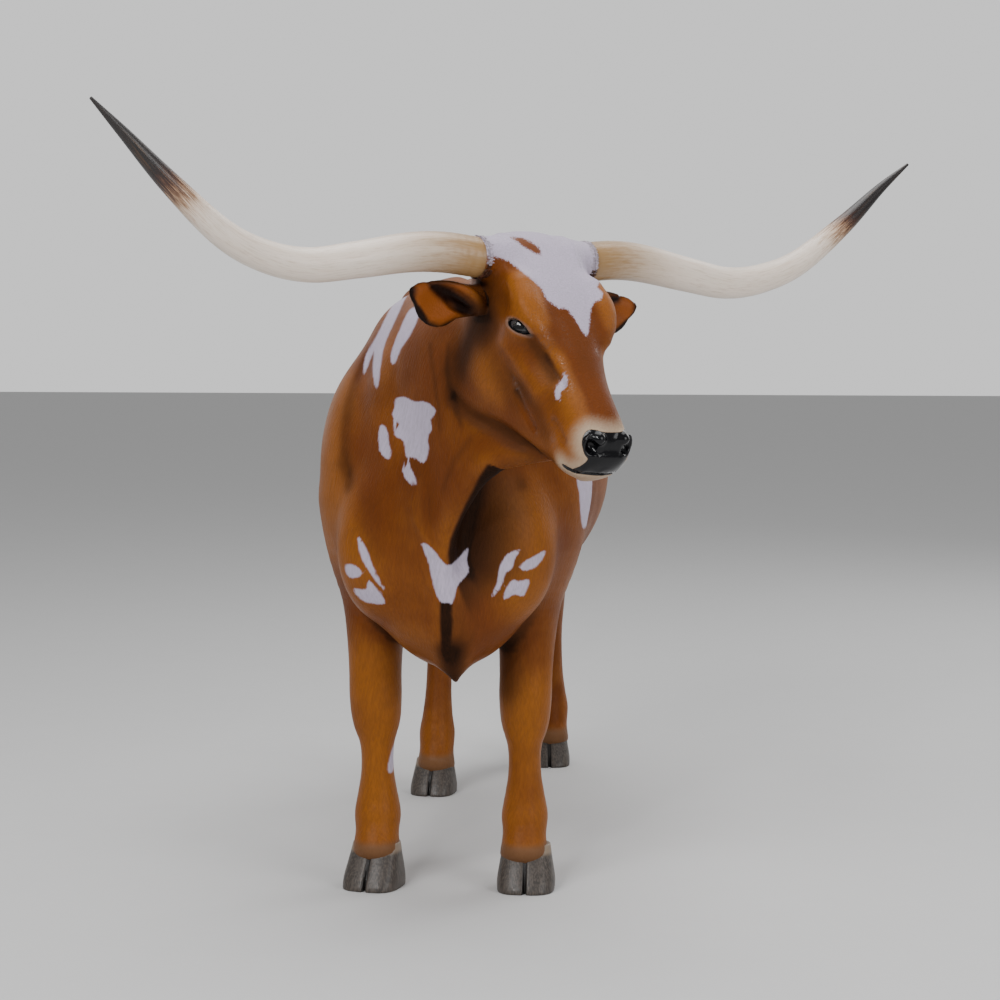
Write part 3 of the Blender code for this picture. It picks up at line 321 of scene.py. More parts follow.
WHITE_ON_BODY = {
    "neck": [(396, 399), (405, 397.5), (414, 402), (426, 402.5), (435.5, 411), (430, 420), (432, 429.5),
             (426, 437), (428.5, 446), (426, 459), (421.5, 462.5), (416, 457.5), (406, 455.5),
             (405, 444), (401.5, 438.5), (396, 437), (395, 431), (400.5, 424.5), (392.5, 416.5),
             (395, 407.5)],
    "beside_neck": [(380, 426), (387, 430), (388, 442), (391, 452), (389, 459), (380, 451)],
    "below_neck": [(404, 465), (410, 467), (416, 482), (414, 486), (408, 481), (403, 473)],
    "withers_outer": [(412, 286), (404, 300), (395, 320), (384, 345), (380, 368), (377, 389), (373, 372),
                      (374, 350), (364, 374), (366, 356), (376, 338), (388, 314), (400, 294)],
    "withers_inner": [(420, 308), (416, 322), (408, 338), (401, 348), (394, 364), (391, 358), (394, 345),
                      (401, 328), (410, 310)],
    "chest": [(422, 544), (431, 548), (447, 566), (460, 557), (468, 548), (466, 560), (468, 572),
              (457, 586), (452, 604), (449, 602), (440, 601), (433, 582), (430, 565)],
    "right_shoulder_streak": [(358, 537), (366, 549), (371, 562), (377, 576), (385, 591), (370, 572),
                              (361, 556)],
    "right_shoulder_spot": [(346, 565), (355, 566), (362, 573), (354, 578), (347, 574)],
    "right_shoulder_branch": [(354, 589), (366, 590), (369, 581), (377, 590), (385, 603), (367, 602),
                              (359, 597)],
    "left_shoulder_streak": [(520, 550), (514, 559), (512, 568), (505, 573), (501, 586), (492, 597),
                             (498, 581), (500, 567), (507, 555)],
    "left_shoulder_fork": [(545, 551), (542, 559), (535, 567), (525, 570), (520, 567), (526, 561),
                           (534, 557)],
    "left_shoulder_spot": [(513, 580), (518, 582), (529, 580), (526, 590), (523, 596), (514, 594),
                           (504, 599), (507, 588)],
    "left_flank": [(578, 470), (602, 470), (599, 492), (593, 511), (584, 529), (581, 514), (580, 495)],
    "right_knee": [(396, 741), (395, 756), (392, 773), (388, 769), (391, 754)],
}
WHITE_ON_HEAD = {
    "face_spot": [(565, 373), (567, 380), (565, 388), (561, 392), (559, 400), (555, 395), (557, 386),
                  (561, 381)],
    "forehead": [(465, 225), (474, 240), (478, 252), (490, 255), (507, 260), (522, 271), (533, 280),
                 (543, 290), (547, 299), (554, 304), (561, 309), (565, 307), (571, 313), (577, 322),
                 (586.5, 335.5), (589, 324), (590, 311), (593, 303), (600, 299), (602, 292),
                 (597, 285), (610, 262), (602, 225)],
}
BROWN_ON_HEAD = {
    "poll_spot": [(510, 237), (522, 237), (532, 242), (540, 248), (543, 256), (533, 253), (522, 246)],
}
# Dark places outlined in pixels: a stripe down the brisket, and the painted shadow on the left side of the
# dewlap and the chest.
DARK_ON_BODY = {
    "chest_stripe": [(441, 600), (451, 600), (451, 630), (447, 660), (443, 650), (441, 625)],
    "throat_shadow": [(562, 462), (530, 462), (515, 461), (500, 461), (487, 465), (479, 477), (473, 490),
               (466, 503), (460, 516), (455, 528), (450, 540), (448, 553), (449, 566), (480, 640),
               (640, 640), (640, 470)],
}
# Soft strokes of painted shade (brown) and of painted light (warmer and lighter): strength, radius,
# and a line. Those on the head are in its own directions and are the same on both sides.
# Painted shade on the head: by the roots of the horns and ears, behind and below the eyes, down the cheeks
# and along the jaw.
PAINTED_SHADE_ON_HEAD = [
    (0.60, 0.035, [(0.108, 0.000, -0.010), (0.116, 0.015, -0.040)]),
    (0.70, 0.085, [(0.106, 0.080, -0.080), (0.102, 0.090, -0.150), (0.098, 0.110, -0.220)]),
    (0.50, 0.045, [(0.094, 0.150, -0.283), (0.092, 0.192, -0.270), (0.080, 0.230, -0.251),
                   (0.062, 0.280, -0.220), (0.048, 0.323, -0.200), (0.034, 0.370, -0.180),
                   (0.050, 0.430, -0.130)]),
    (0.35, 0.022, [(0.099, 0.215, 0.014), (0.085, 0.238, 0.006), (0.070, 0.258, -0.004),
                   (0.060, 0.295, -0.006)]),
    (0.40, 0.045, [(0.089, 0.266, -0.085), (0.081, 0.318, -0.080), (0.073, 0.371, -0.090)]),
    (0.30, 0.040, [(0.092, 0.205, 0.000), (0.075, 0.270, -0.010), (0.064, 0.330, -0.020)]),
    (0.35, 0.070, [(0.105, 0.130, -0.090), (0.098, 0.200, -0.115), (0.085, 0.260, -0.125)]),
    (0.15, 0.060, [(0.045, 0.170, 0.055), (0.030, 0.200, 0.052), (0.022, 0.250, 0.045),
                   (0.018, 0.300, 0.040)]),
]
# Painted light on the head: warmer and lighter on the brows, beside the bridge of the nose and on the
# cheeks; the last stroke takes some off the middle of the nose.
PAINTED_LIGHT_ON_HEAD = [
    (0.8, 0.050, [(0.095, 0.090, 0.045), (0.090, 0.130, 0.055), (0.075, 0.180, 0.045)]),
    (0.9, 0.060, [(0.062, 0.270, 0.020), (0.056, 0.330, 0.015), (0.054, 0.390, 0.015)]),
    (0.3, 0.060, [(0.105, 0.170, -0.120), (0.095, 0.230, -0.160)]),
    (-0.8, 0.060, [(0.045, 0.170, 0.055), (0.020, 0.220, 0.050), (0.012, 0.320, 0.038),
                   (0.012, 0.420, 0.028)]),
]
# Painted light on the body: lighter on the lower forelegs, on both sides of the chest and on the right
# shoulder.
PAINTED_LIGHT_ON_BODY = [
    (0.6, 0.200, [(0.167, 0.100, 0.450), (0.167, 0.100, 0.150)]),
    (0.5, 0.200, [(-0.167, 0.100, 0.450), (-0.167, 0.100, 0.150)]),
    (0.6, 0.180, [(-0.280, 0.100, 1.050), (-0.290, 0.080, 0.800)]),
    (0.6, 0.150, [(0.150, -0.140, 0.860), (0.180, -0.110, 0.720)]),
    (0.8, 0.120, [(-0.240, 0.100, 0.980), (-0.215, -0.020, 0.880), (-0.180, -0.060, 0.780)]),
]
# Painted shade on the body: in the creases and folds of the neck, along the throat and the dewlap, at the
# brisket's tip and on the inner sides of the forelegs.
PAINTED_SHADE_ON_BODY = [
    (0.45, 0.045, GROOVES[0]),
    (0.25, 0.014, [(0.024, -0.234, 1.232), (0.023, -0.247, 1.180), (0.035, -0.264, 1.118),
                   (0.055, -0.282, 1.067)]),
    (0.35, 0.016, [(-0.019, -0.186, 1.230), (-0.007, -0.217, 1.168), (0.003, -0.234, 1.106),
                   (0.007, -0.238, 1.054)]),
    (0.30, 0.020, [(0.075, -0.296, 1.037), (0.041, -0.268, 0.993), (0.015, -0.240, 0.930)]),
    (0.80, 0.060, [(0.02, -0.14, 0.56), (0.02, -0.10, 0.50)]),
    (0.35, 0.070, [(0.035, -0.165, 0.66), (0.030, -0.150, 0.58)]),
    (0.25, 0.075, [(-0.120, 0.050, 0.60), (-0.122, 0.060, 0.44)]),
    (0.50, 0.085, [(0.115, 0.040, 0.66), (0.125, 0.050, 0.46)]),
    (0.30, 0.050, [(-0.020, -0.238, 1.300), (-0.010, -0.258, 1.200), (0.010, -0.278, 1.120)]),
    (0.25, 0.080, [(-0.050, -0.178, 0.960), (-0.040, -0.178, 0.860)]),
    (0.25, 0.070, [(-0.150, -0.108, 0.880), (-0.150, -0.128, 0.780)]),
    (0.45, 0.030, [(0.195, -0.110, 1.060), (0.188, -0.118, 0.990), (0.178, -0.098, 0.930)]),
    (0.35, 0.028, [(0.225, -0.095, 1.060), (0.215, -0.100, 0.990), (0.205, -0.085, 0.940)]),
]
# Where the varnish lies thick and glints: strength, radius and a line on the head.
GLOSS_STROKES_ON_HEAD = [
    (0.8, 0.022, [(0.085, 0.120, 0.050), (0.090, 0.190, 0.045), (0.080, 0.240, 0.030),
                  (0.060, 0.290, 0.015), (0.055, 0.330, 0.005)]),
    (0.9, 0.020, [(0.040, 0.190, 0.055), (0.032, 0.260, 0.045)]),
    (1.0, 0.014, [(0.085, 0.240, -0.095), (0.075, 0.300, -0.108), (0.066, 0.350, -0.112)]),
    (0.8, 0.022, [(0.066, 0.366, -0.060), (0.068, 0.410, -0.080)]),
    (0.8, 0.026, [(0.098, 0.050, -0.060), (0.112, 0.070, -0.040)]),
]
# Painted shade in the ear's cavity, under its rolled rim: out along the ear, towards its upper edge.
EAR_CAVITY_SHADE = [(0.028, -0.026), (0.052, -0.027), (0.070, -0.019), (0.090, -0.009), (0.122, 0.007),
              (0.144, 0.020), (0.148, 0.031), (0.128, 0.033), (0.094, 0.025), (0.060, 0.008),
              (0.040, -0.008)]
NOSE_PAD = [(583, 437), (585.5, 432.5), (590, 429.8), (597, 430.5), (605, 432.5), (616, 432.3),
            (640, 430),
            (640, 478), (608, 475.5), (585, 472.5), (572, 470), (580, 466.5), (586, 462),
            (588, 458.5), (585, 455),
            (583, 449), (582, 443)]

# White patches where the photograph can't see, as outlines from the side (y, z) and their side.
UNSEEN_WHITE = [
    (1, [(0.30, 1.26), (0.42, 1.30), (0.60, 1.24), (0.66, 1.10), (0.58, 1.00), (0.46, 1.00),
         (0.40, 1.10),
         (0.28, 1.16)]),
    (1, [(0.78, 0.98), (0.88, 1.00), (0.92, 0.90), (0.84, 0.82), (0.76, 0.86)]),
    (1, [(1.24, 1.30), (1.38, 1.28), (1.40, 1.14), (1.30, 1.08), (1.22, 1.16)]),
    (-1, [(0.36, 1.10), (0.50, 1.14), (0.62, 1.04), (0.60, 0.90), (0.50, 0.84), (0.40, 0.92),
          (0.44, 1.00)]),
    (-1, [(0.74, 1.26), (0.90, 1.28), (1.00, 1.18), (0.92, 1.06), (0.82, 1.10), (0.72, 1.16)]),
    (-1, [(0.78, 0.80), (0.90, 0.84), (0.96, 0.76), (0.86, 0.70)]),
    (-1, [(1.22, 1.10), (1.32, 1.16), (1.38, 1.04), (1.30, 0.94), (1.24, 1.00)]),
]
# Small white spots there: side, y, z and radius.
UNSEEN_SPOTS = [(1, 0.76, 1.16, 0.030), (1, 0.70, 0.80, 0.022), (1, 1.02, 1.06, 0.026),
                (1, 1.20, 1.24, 0.018), (1, 0.94, 0.76, 0.016), (-1, 0.66, 1.20, 0.024),
                (-1, 0.34, 0.88, 0.022), (-1, 0.70, 0.90, 0.018), (-1, 1.08, 0.98, 0.026),
                (-1, 1.12, 1.20, 0.020)]


class Camera:
    """Turns places in the clay's frame into the photograph's pixels."""

    def __init__(self):
        turn = Matrix.Rotation(CAMERA_YAW, 3, 'Z') @ Matrix.Rotation(-CAMERA_PITCH, 3, 'X')
        self.right = np.array(turn @ Vector((1, 0, 0)))
        self.ahead = np.array(turn @ Vector((0, 1, 0)))
        self.up = np.array(turn @ Vector((0, 0, 1)))

    def pixels(self, points):
        away = points - np.array(CAMERA_PLACE)
        depth = away @ self.ahead
        scale = CAMERA_FOCAL * PICTURE / depth
        across = PICTURE / 2 + away @ self.right * scale
        down = PICTURE / 2 - away @ self.up * scale
        return np.column_stack([across, down]), depth


def inside(points, outline):
    """Distance of flat points to an outline, above zero inside it."""
    nearest = np.full(len(points), 1e9)
    within = np.zeros(len(points), bool)
    corners = np.array(outline, float)
    for a, b in zip(corners, np.roll(corners, -1, axis=0)):
        side = b - a
        away = points - a
        share = np.clip((away @ side) / (side @ side), 0, 1)
        nearest = np.minimum(nearest, np.linalg.norm(away - share[:, None] * side, axis=1))
        crosses = (a[1] > points[:, 1]) != (b[1] > points[:, 1])
        rise = b[1] - a[1] if abs(b[1] - a[1]) > 1e-12 else 1e-12
        at = a[0] + (points[:, 1] - a[1]) / rise * side[0]
        within ^= crosses & (points[:, 0] < at)
    return np.where(within, nearest, -nearest)


def step(edge0, edge1, value):
    """0 below edge0 and 1 above edge1, with a smooth rise between."""
    t = np.clip((value - edge0) / (edge1 - edge0), 0, 1)
    return t * t * (3 - 2 * t)


class Place:
    """An origin and three directions in which a mass is described."""

    def __init__(self, origin=(0, 0, 0), turn=None):
        self.origin = Vector(origin)
        self.turn = Matrix.Identity(3) if turn is None else turn

    def world(self, point):
        return self.origin + self.turn @ Vector(point)

    def local(self, x, y, z):
        turn = np.array(self.turn.transposed(), np.float32)
        x, y, z = (c - np.float32(o) for c, o in zip((x, y, z), self.origin))
        return tuple(row[0] * x + row[1] * y + row[2] * z for row in turn)

    def matrix(self):
        return Matrix.Translation(self.origin) @ self.turn.to_4x4()


def facing(out, towards, turn, origin):
    """A place whose y runs out, whose z runs towards, and whose x lies across both."""
    out = Vector(out).normalized()
    towards = Vector(towards)
    towards = (towards - towards.dot(out) * out).normalized()
    return Place(origin, turn @ Matrix((out.cross(towards), out, towards)).transposed())


def head_places():
    """The crown, turned but level, and the head, which is also pitched down."""
    forward = Matrix(((1, 0, 0), (0, -1, 0), (0, 0, 1)))
    turned = Matrix.Rotation(HEAD_YAW, 3, 'Z') @ Matrix.Rotation(HEAD_ROLL, 3, 'Y')
    pitched = turned @ Matrix.Rotation(HEAD_PITCH, 3, 'X')
    return Place(POLL, turned @ forward), Place(POLL, pitched @ forward)


BODY = Place()
CROWN, HEAD = head_places()


def ear_place(side):
    root = HEAD.world((side * EAR_ROOT[0], EAR_ROOT[1], EAR_ROOT[2]))
    return facing(EAR_OUT[side], (side * 0.15, 0.65, 0.75), HEAD.turn, root)


def eye_place(side):
    """x along the lids towards the inner corner, y out of the eye."""
    out = Vector((side * 0.80, 0.33, 0.50)).normalized()
    along = Vector((-side * 0.45, 0.74, 0.33))
    along = (along - along.dot(out) * out).normalized()
    middle = HEAD.world((side * EYE_PLACE[0], EYE_PLACE[1], EYE_PLACE[2]))
    return Place(middle, HEAD.turn @ Matrix((along, out, along.cross(out))).transposed())


def spline(stations, share):
    """Smooth values through the rows of stations; share runs from 0 to the last row's number."""
    rows = np.asarray(stations, float)
    padded = np.vstack([2 * rows[0] - rows[1], rows, 2 * rows[-1] - rows[-2]])
    first = np.clip(np.floor(share).astype(int), 0, len(rows) - 2)
    t = (share - first)[:, None]
    a, b, c, d = (padded[first + i] for i in range(4))
    return 0.5 * (2 * b + (c - a) * t + (2 * a - 5 * b + 4 * c - d) * t ** 2
                  + (3 * b - a - 3 * c + d) * t ** 3)


def mirrored(side, rows):
    """Rows of the left side as they are (1), or mirrored for the right one (-1)."""
    return [(side * row[0], *row[1:]) for row in rows]


def rods(side, points, radius):
    """Round limb stations of one radius through points of the left side, or their mirror image."""
    return [(side * x, y, z, radius, radius) for x, y, z in points]


def rounded(u, v, w, a, b, c):
    """Nearly the distance to an ellipsoid with the radii a, b and c."""
    near = np.sqrt((u / a) ** 2 + (v / b) ** 2 + (w / c) ** 2)
    slope = np.sqrt((u / a ** 2) ** 2 + (v / b ** 2) ** 2 + (w / c ** 2) ** 2)
    return near * (near - 1) / np.maximum(slope, 1e-6)


def ball(centre, radii, place=BODY):
    """An ellipsoid mass."""
    inner = Place(place.world(centre), place.turn)
    reach = np.sqrt(np.array(place.turn) ** 2 @ np.array(radii) ** 2)
    middle = np.array(inner.origin)

    def distance(x, y, z):
        return rounded(*inner.local(x, y, z), *(np.float32(r) for r in radii))
    return middle - reach, middle + reach, distance


def limb(stations, side=(1, 0, 0), place=BODY, round_ends=0.7, steps=4):
    """A smooth chain of elliptic sections; side is the direction of their half width."""
    share = np.linspace(0, len(stations) - 1, (len(stations) - 1) * steps + 1)
    rows = spline(stations, share)
    points = [place.world(row[:3]) for row in rows]
    side = place.turn @ Vector(side)
    sizes = np.maximum(rows[:, 3:5], 0.002)
    thick = sizes.max(axis=1)
    spots = np.array([tuple(p) for p in points])

    def distance(x, y, z):
        shape = np.broadcast_shapes(x.shape, y.shape, z.shape)
        nearest = np.full(shape, FAR, np.float32)
        lines = (x.ravel(), y.ravel(), z.ravel())
        for i in range(len(points) - 1):
            reach = max(thick[i], thick[i + 1]) + 0.09
            low = np.minimum(spots[i], spots[i + 1]) - reach
            high = np.maximum(spots[i], spots[i + 1]) + reach
            cut = tuple(slice(np.searchsorted(line, a), np.searchsorted(line, b))
                        for line, a, b in zip(lines, low, high))
            if any(c.start >= c.stop for c in cut):
                continue
            step = points[i + 1] - points[i]
            length = max(step.length, 1e-6)
            along = step / length
            across = (side - side.dot(along) * along).normalized()
            inner = Place(points[i], Matrix((across, along.cross(across), along)).transposed())
            u, v, w = inner.local(*np.ix_(*(line[c] for line, c in zip(lines, cut))))
            t = np.clip(w / length, 0, 1)
            a = sizes[i, 0] + t * (sizes[i + 1, 0] - sizes[i, 0])
            b = sizes[i, 1] + t * (sizes[i + 1, 1] - sizes[i, 1])
            d = rounded(u, v, w - t * length, a, b, round_ends * np.minimum(a, b))
            nearest[cut] = np.minimum(nearest[cut], d)
        return nearest
    return (spots - thick[:, None]).min(0), (spots + thick[:, None]).max(0), distance


def loft(stations, place=BODY):
    """A mass through superelliptic sections set along the place's y."""
    rows = np.asarray(stations, float)
    fine = spline(rows, np.linspace(0, len(rows) - 1, (len(rows) - 1) * 12 + 1))
    fine[:, 0] = np.maximum.accumulate(fine[:, 0])
    corners = np.array([tuple(place.world((x, y, z)))
                        for x in (-rows[:, 4].max(), rows[:, 4].max())
                        for y in (rows[0, 0], rows[-1, 0])
                        for z in (rows[:, 1].min(), rows[:, 2].max())])

    def distance(x, y, z):
        u, v, w = place.local(x, y, z)

        def at(column):
            return np.interp(v, fine[:, 0], fine[:, column]).astype(np.float32)
        middle, wide = at(3), np.maximum(at(4), 0.004)
        above = w > middle
        tall = np.maximum(np.where(above, at(2) - middle, middle - at(1)), 0.004)
        power = np.where(above, at(5), at(6))
        across, up = np.abs(u) / wide, np.abs(w - middle) / tall
        near = (across ** power + up ** power + 1e-9) ** (1 / power)
        slope_u = near ** (1 - power) * across ** (power - 1) / wide
        slope_w = near ** (1 - power) * up ** (power - 1) / tall
        d = (near - 1) / np.maximum(np.sqrt(slope_u ** 2 + slope_w ** 2), 1.0)
        beyond = np.maximum(rows[0, 0] - v, v - rows[-1, 0])
        return np.maximum(d, beyond).astype(np.float32)
    return corners.min(0) - 0.02, corners.max(0) + 0.02, distance


class Clay:
    """A block of space that holds the distance to the surface of the masses put into it."""

    def __init__(self, lines):
        self.lines = [np.asarray(line, np.float32) for line in lines]
        self.field = np.full([len(line) for line in self.lines], FAR, np.float32)

    def part(self, mass, blend):
        """The cells near a mass, what they hold and the mass's own distance there."""
        low, high, distance = mass
        margin = blend + 0.025
        cut = tuple(slice(*np.searchsorted(line, (a - margin, b + margin)))
                    for line, a, b in zip(self.lines, low, high))
        if any(c.start >= c.stop for c in cut):
            return None, None, None
        return cut, self.field[cut], distance(*np.ix_(*(line[c] for line, c in zip(self.lines, cut))))

    def add(self, mass, blend):
        cut, held, new = self.part(mass, blend)
        if cut is not None:
            near = np.maximum(blend - np.abs(held - new), 0) / blend
            self.field[cut] = np.minimum(held, new) - near * near * blend / 4

    def carve(self, mass, blend):
        cut, held, new = self.part(mass, blend)
        if cut is not None:
            near = np.maximum(blend - np.abs(held + new), 0) / blend
            self.field[cut] = np.maximum(held, -new) + near * near * blend / 4

    def mesh(self, name):
        """The clay's surface as a mesh of quads."""
        grid = openvdb.FloatGrid(FAR)
        grid.copyFromArray(self.field)
        points, triangles, quads = grid.convertToPolygons(isovalue=0.0, adaptivity=0.0)
        steps = [np.interp(points[:, i], np.arange(len(line)), line) for i, line in enumerate(self.lines)]
        mesh = bpy.data.meshes.new(name)
        mesh.from_pydata(np.column_stack(steps).tolist(), [], quads.tolist() + triangles.tolist())
        return mesh

    def at(self, points):
        """The field at any places, between the grid's own."""
        low, share = [], []
        for i, line in enumerate(self.lines):
            index = np.interp(points[:, i], line, np.arange(len(line)))
            floor = np.minimum(index.astype(int), len(line) - 2)
            low.append(floor)
            share.append(index - floor)
        total = np.zeros(len(points))
        for corner in np.ndindex(2, 2, 2):
            weight = np.prod([s if c else 1 - s for s, c in zip(share, corner)], axis=0)
            total += weight * self.field[tuple(a + c for a, c in zip(low, corner))]
        return total

    def slopes(self, points):
        """The surface's outward directions at the given places."""
        reach = 0.004
        found = np.stack([self.at(points + reach * axis) - self.at(points - reach * axis)
                          for axis in np.eye(3)], axis=1)
        return found / np.maximum(np.linalg.norm(found, axis=1), 1e-9)[:, None]


def hindleg(toe):
    """Stations of a left hind leg whose toe tip stands at y = toe."""
    def between(share, hip):
        return share * toe + (1 - share) * hip
    return [
        (0.140, toe + 0.073, 0.075, 0.050, 0.052),
        (0.140, toe + 0.088, 0.110, 0.045, 0.048),
        (0.140, toe + 0.105, 0.155, 0.047, 0.052),
        (0.139, toe + 0.108, 0.200, 0.040, 0.044),
        (0.138, between(0.92, 1.27) + 0.108, 0.270, 0.034, 0.040),
        (0.137, between(0.80, 1.27) + 0.110, 0.370, 0.034, 0.042),
        (0.137, between(0.68, 1.27) + 0.115, 0.450, 0.041, 0.056),
        (0.140, between(0.58, 1.27) + 0.100, 0.530, 0.046, 0.073),
        (0.147, between(0.45, 1.25) + 0.050, 0.620, 0.055, 0.085),
        (0.160, between(0.30, 1.22) - 0.010, 0.720, 0.080, 0.125),
        (0.168, between(0.15, 1.19) - 0.020, 0.840, 0.098, 0.180),
        (0.165, 1.170, 0.970, 0.105, 0.215),
        (0.150, 1.200, 1.100, 0.095, 0.200),
    ]


def dewclaws(clay, side, middle, toe, size):
    """Two small claws behind the fetlock."""
    for x in (-0.024, 0.024):
        top = (middle + x * size, toe + 0.158 * size, 0.165 * size, 0.012, 0.012)
        tip = (middle + 1.25 * x * size, toe + 0.172 * size, 0.135 * size, 0.008, 0.008)
        clay.add(limb([top, tip]), 0.008)


def model_body(clay):
    """Torso, neck, dewlap, legs and the root of the tail."""
    clay.add(loft(TORSO), 0.001)
    clay.add(limb(NECK, side=(0.93, 0.37, 0), round_ends=1.0, steps=12), 0.09)
    hanging = []
    for edge, root, half in DEWLAP:
        edge, root = Vector(edge), Vector(root)
        hanging.append((*((edge + root) / 2), half, (edge - root).length / 2))
    clay.add(limb(hanging, side=(0.86, 0.50, 0), steps=10), 0.08)
    keel = []
    for edge, root, _ in DEWLAP:
        inward = (Vector(root) - Vector(edge)).normalized()
        keel.append((*(Vector(edge) + 0.016 * inward), 0.016, 0.016))
    clay.add(limb(keel, steps=6), 0.05)
    clay.carve(limb(HOLLOW, steps=6), 0.08)
    for groove in GROOVES:
        clay.carve(limb(rods(1, groove, 0.005), steps=6), 0.030)
    for side in (-1, 1):
        clay.add(ball((side * 0.182, 0.17, 0.93), (0.122, 0.19, 0.26)), 0.05)  # shoulder
        clay.add(ball((side * 0.110, 0.20, 1.12), (0.085, 0.12, 0.17)), 0.06)  # shoulder blade
        clay.add(ball((side * 0.120, -0.03, 0.78), (0.120, 0.11, 0.17)), 0.05)  # breast
        clay.add(ball((side * 0.150, 1.20, 1.05), (0.115, 0.22, 0.25)), 0.05)  # thigh
        clay.add(ball((side * 0.165, 1.07, 1.285), (0.055, 0.08, 0.05)), 0.10)  # hip bone
        clay.add(ball((side * 0.095, 1.42, 1.20), (0.045, 0.05, 0.05)), 0.07)  # seat bone
        clay.add(limb([(x + FORELEG_SHIFT, *row) for x, *row in mirrored(side, FORELEG)]), 0.045)
        dewclaws(clay, side, side * 0.167 + FORELEG_SHIFT, TOE_FRONT, 1.0)
        toe = TOE_RIGHT_HIND if side < 0 else TOE_LEFT_HIND
        clay.add(limb(mirrored(side, hindleg(toe))), 0.05)
        dewclaws(clay, side, side * 0.140, toe, HIND_HOOF)
    clay.add(ball((-0.045, -0.075, 0.85), (0.070, 0.090, 0.20)), 0.08)  # right of the dewlap
    clay.add(ball((0.010, -0.01, 0.64), (0.140, 0.13, 0.12)), 0.05)  # brisket
    tip = [(0.020, -0.060, 0.560, 0.030, 0.060), (0.022, -0.075, 0.525, 0.018, 0.045),
           (0.024, -0.085, 0.498, 0.005, 0.020)]
    clay.add(limb(tip), 0.03)
    clay.add(ball((0, 0.80, 0.635), (0.026, 0.08, 0.04)), 0.05)  # sheath
    clay.add(limb(TAIL[:5]), 0.04)


def model_head(clay):
    """Skull, jaw, brows, horn roots, ears, nostrils, mouth and the openings of the eyes."""
    clay.add(loft(SKULL, HEAD), 0.05)
    clay.add(loft(JAW, HEAD), 0.03)
    for side in (-1, 1):
        clay.add(ball((side * 0.062, 0.150, -0.150), (0.040, 0.075, 0.085), HEAD), 0.03)  # cheek
        clay.add(limb(mirrored(side, BROW), place=HEAD), 0.045)
        clay.add(limb(mirrored(side, CHEEKBONE), place=HEAD), 0.05)
        clay.add(limb(mirrored(side, HORN_ROOT), (0, 0, 1), CROWN, round_ends=0.2), 0.03)
        clay.carve(ball((side * 0.128, 0.085, -0.020), (0.016, 0.035, 0.030), HEAD), 0.03)  # temple
        clay.add(ball((side * 0.034, 0.435, -0.058), (0.031, 0.042, 0.042), HEAD), 0.03)  # lip
        clay.add(ball((side * 0.030, 0.456, 0.010), (0.013, 0.013, 0.012), HEAD), 0.012)  # nostril wing
        clay.add(ball((side * 0.086, 0.172, -0.004), (0.031, 0.035, 0.029), HEAD), 0.025)  # orbit
        model_ear(clay, side)
        model_lids(clay, side)
        clay.add(limb(rods(side, NOSTRIL_RIM, 0.0035), place=HEAD), 0.006)
        clay.carve(ball((side * 0.043, 0.466, -0.006), (0.0125, 0.0160, 0.0125), HEAD), 0.004)
        clay.carve(limb(mirrored(side, NOSTRIL_SLIT), place=HEAD), 0.003)
        for radius, softness, groove in FACE_GROOVES:
            clay.carve(limb(rods(side, groove, radius), place=HEAD), softness)
    line = [(-x, y, z, 0.003, 0.004) for x, y, z in LIP]
    line += [(x, y, z, 0.003, 0.004) for x, y, z in LIP[-2::-1]]
    clay.carve(limb(line, (0, 0, 1), HEAD), 0.005)


def model_ear(clay, side):
    """A leaf with a rolled upper rim over a cup that is deepest towards the head."""
    place = ear_place(side)
    clay.add(limb(mirrored(side, EAR), (1, 0, 0), place), 0.014)
    clay.add(limb(mirrored(side, EAR_ROLL), (1, 0, 0), place), 0.008)
    clay.carve(ball((side * -0.008, 0.118, 0.026), (0.034, 0.062, 0.021), place), 0.006)
    clay.carve(limb(mirrored(side, EAR_HOLE), (1, 0, 0), place), 0.005)
    for i in range(3):
        fold = [(0.024, -0.012 + 0.011 * i, 0.020, 0.002, 0.002),
                (0.004, -0.016 + 0.011 * i, 0.029, 0.002, 0.003),
                (-0.018, -0.012 + 0.010 * i, 0.022, 0.002, 0.002)]
        clay.carve(limb(mirrored(side, fold), (0, 1, 0), place), 0.006)


def model_lids(clay, side):
    """Upper and lower lid, and the almond opening between them."""
    place = eye_place(side)
    for lift, thick in ((-1, 0.0040), (1, 0.0056)):
        lid = [(-0.028, 0.0080, lift * 0.0010, 0.0045, 0.0045),
               (-0.014, 0.0215, lift * 0.0108, thick, 0.0042),
               (0.002, 0.0252, lift * 0.0138, thick, 0.0042),
               (0.016, 0.0210, lift * 0.0095, thick, 0.0042),
               (0.031, 0.0105, lift * -0.0010, 0.0038, 0.0038)]
        clay.add(limb(lid, (0, 1, 0), place), 0.008)
    opening = [(-0.029, 0.024, 0.0015, 0.018, 0.0012), (-0.015, 0.031, 0.0020, 0.026, 0.0088),
               (0.001, 0.034, 0.0015, 0.028, 0.0112), (0.016, 0.031, -0.0005, 0.026, 0.0080),
               (0.030, 0.025, -0.0030, 0.018, 0.0012)]
    clay.carve(limb(opening, (0, 1, 0), place), 0.002)


def model_hoof(clay, place, size):
    """A hoof with a groove between its claws; the place's y runs up and its z to the toe."""
    rows = [(*(size * v for v in r[:5]), *r[5:]) for r in HOOF]
    clay.add(loft(rows, place), 0.002)
    front = [(0, -0.020, 0.076, 0.0035, 0.016), (0, 0.030, 0.062, 0.0030, 0.012),
             (0, 0.088, 0.030, 0.0020, 0.007)]
    back = [(0, -0.020, -0.085, 0.0070, 0.020), (0, 0.045, -0.078, 0.0060, 0.012)]
    for groove in (front, back):
        clay.carve(limb([tuple(size * v for v in r) for r in groove], (1, 0, 0), place), 0.006)


def eye_middle(node):
    low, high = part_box(node)
    return (low + high) / 2


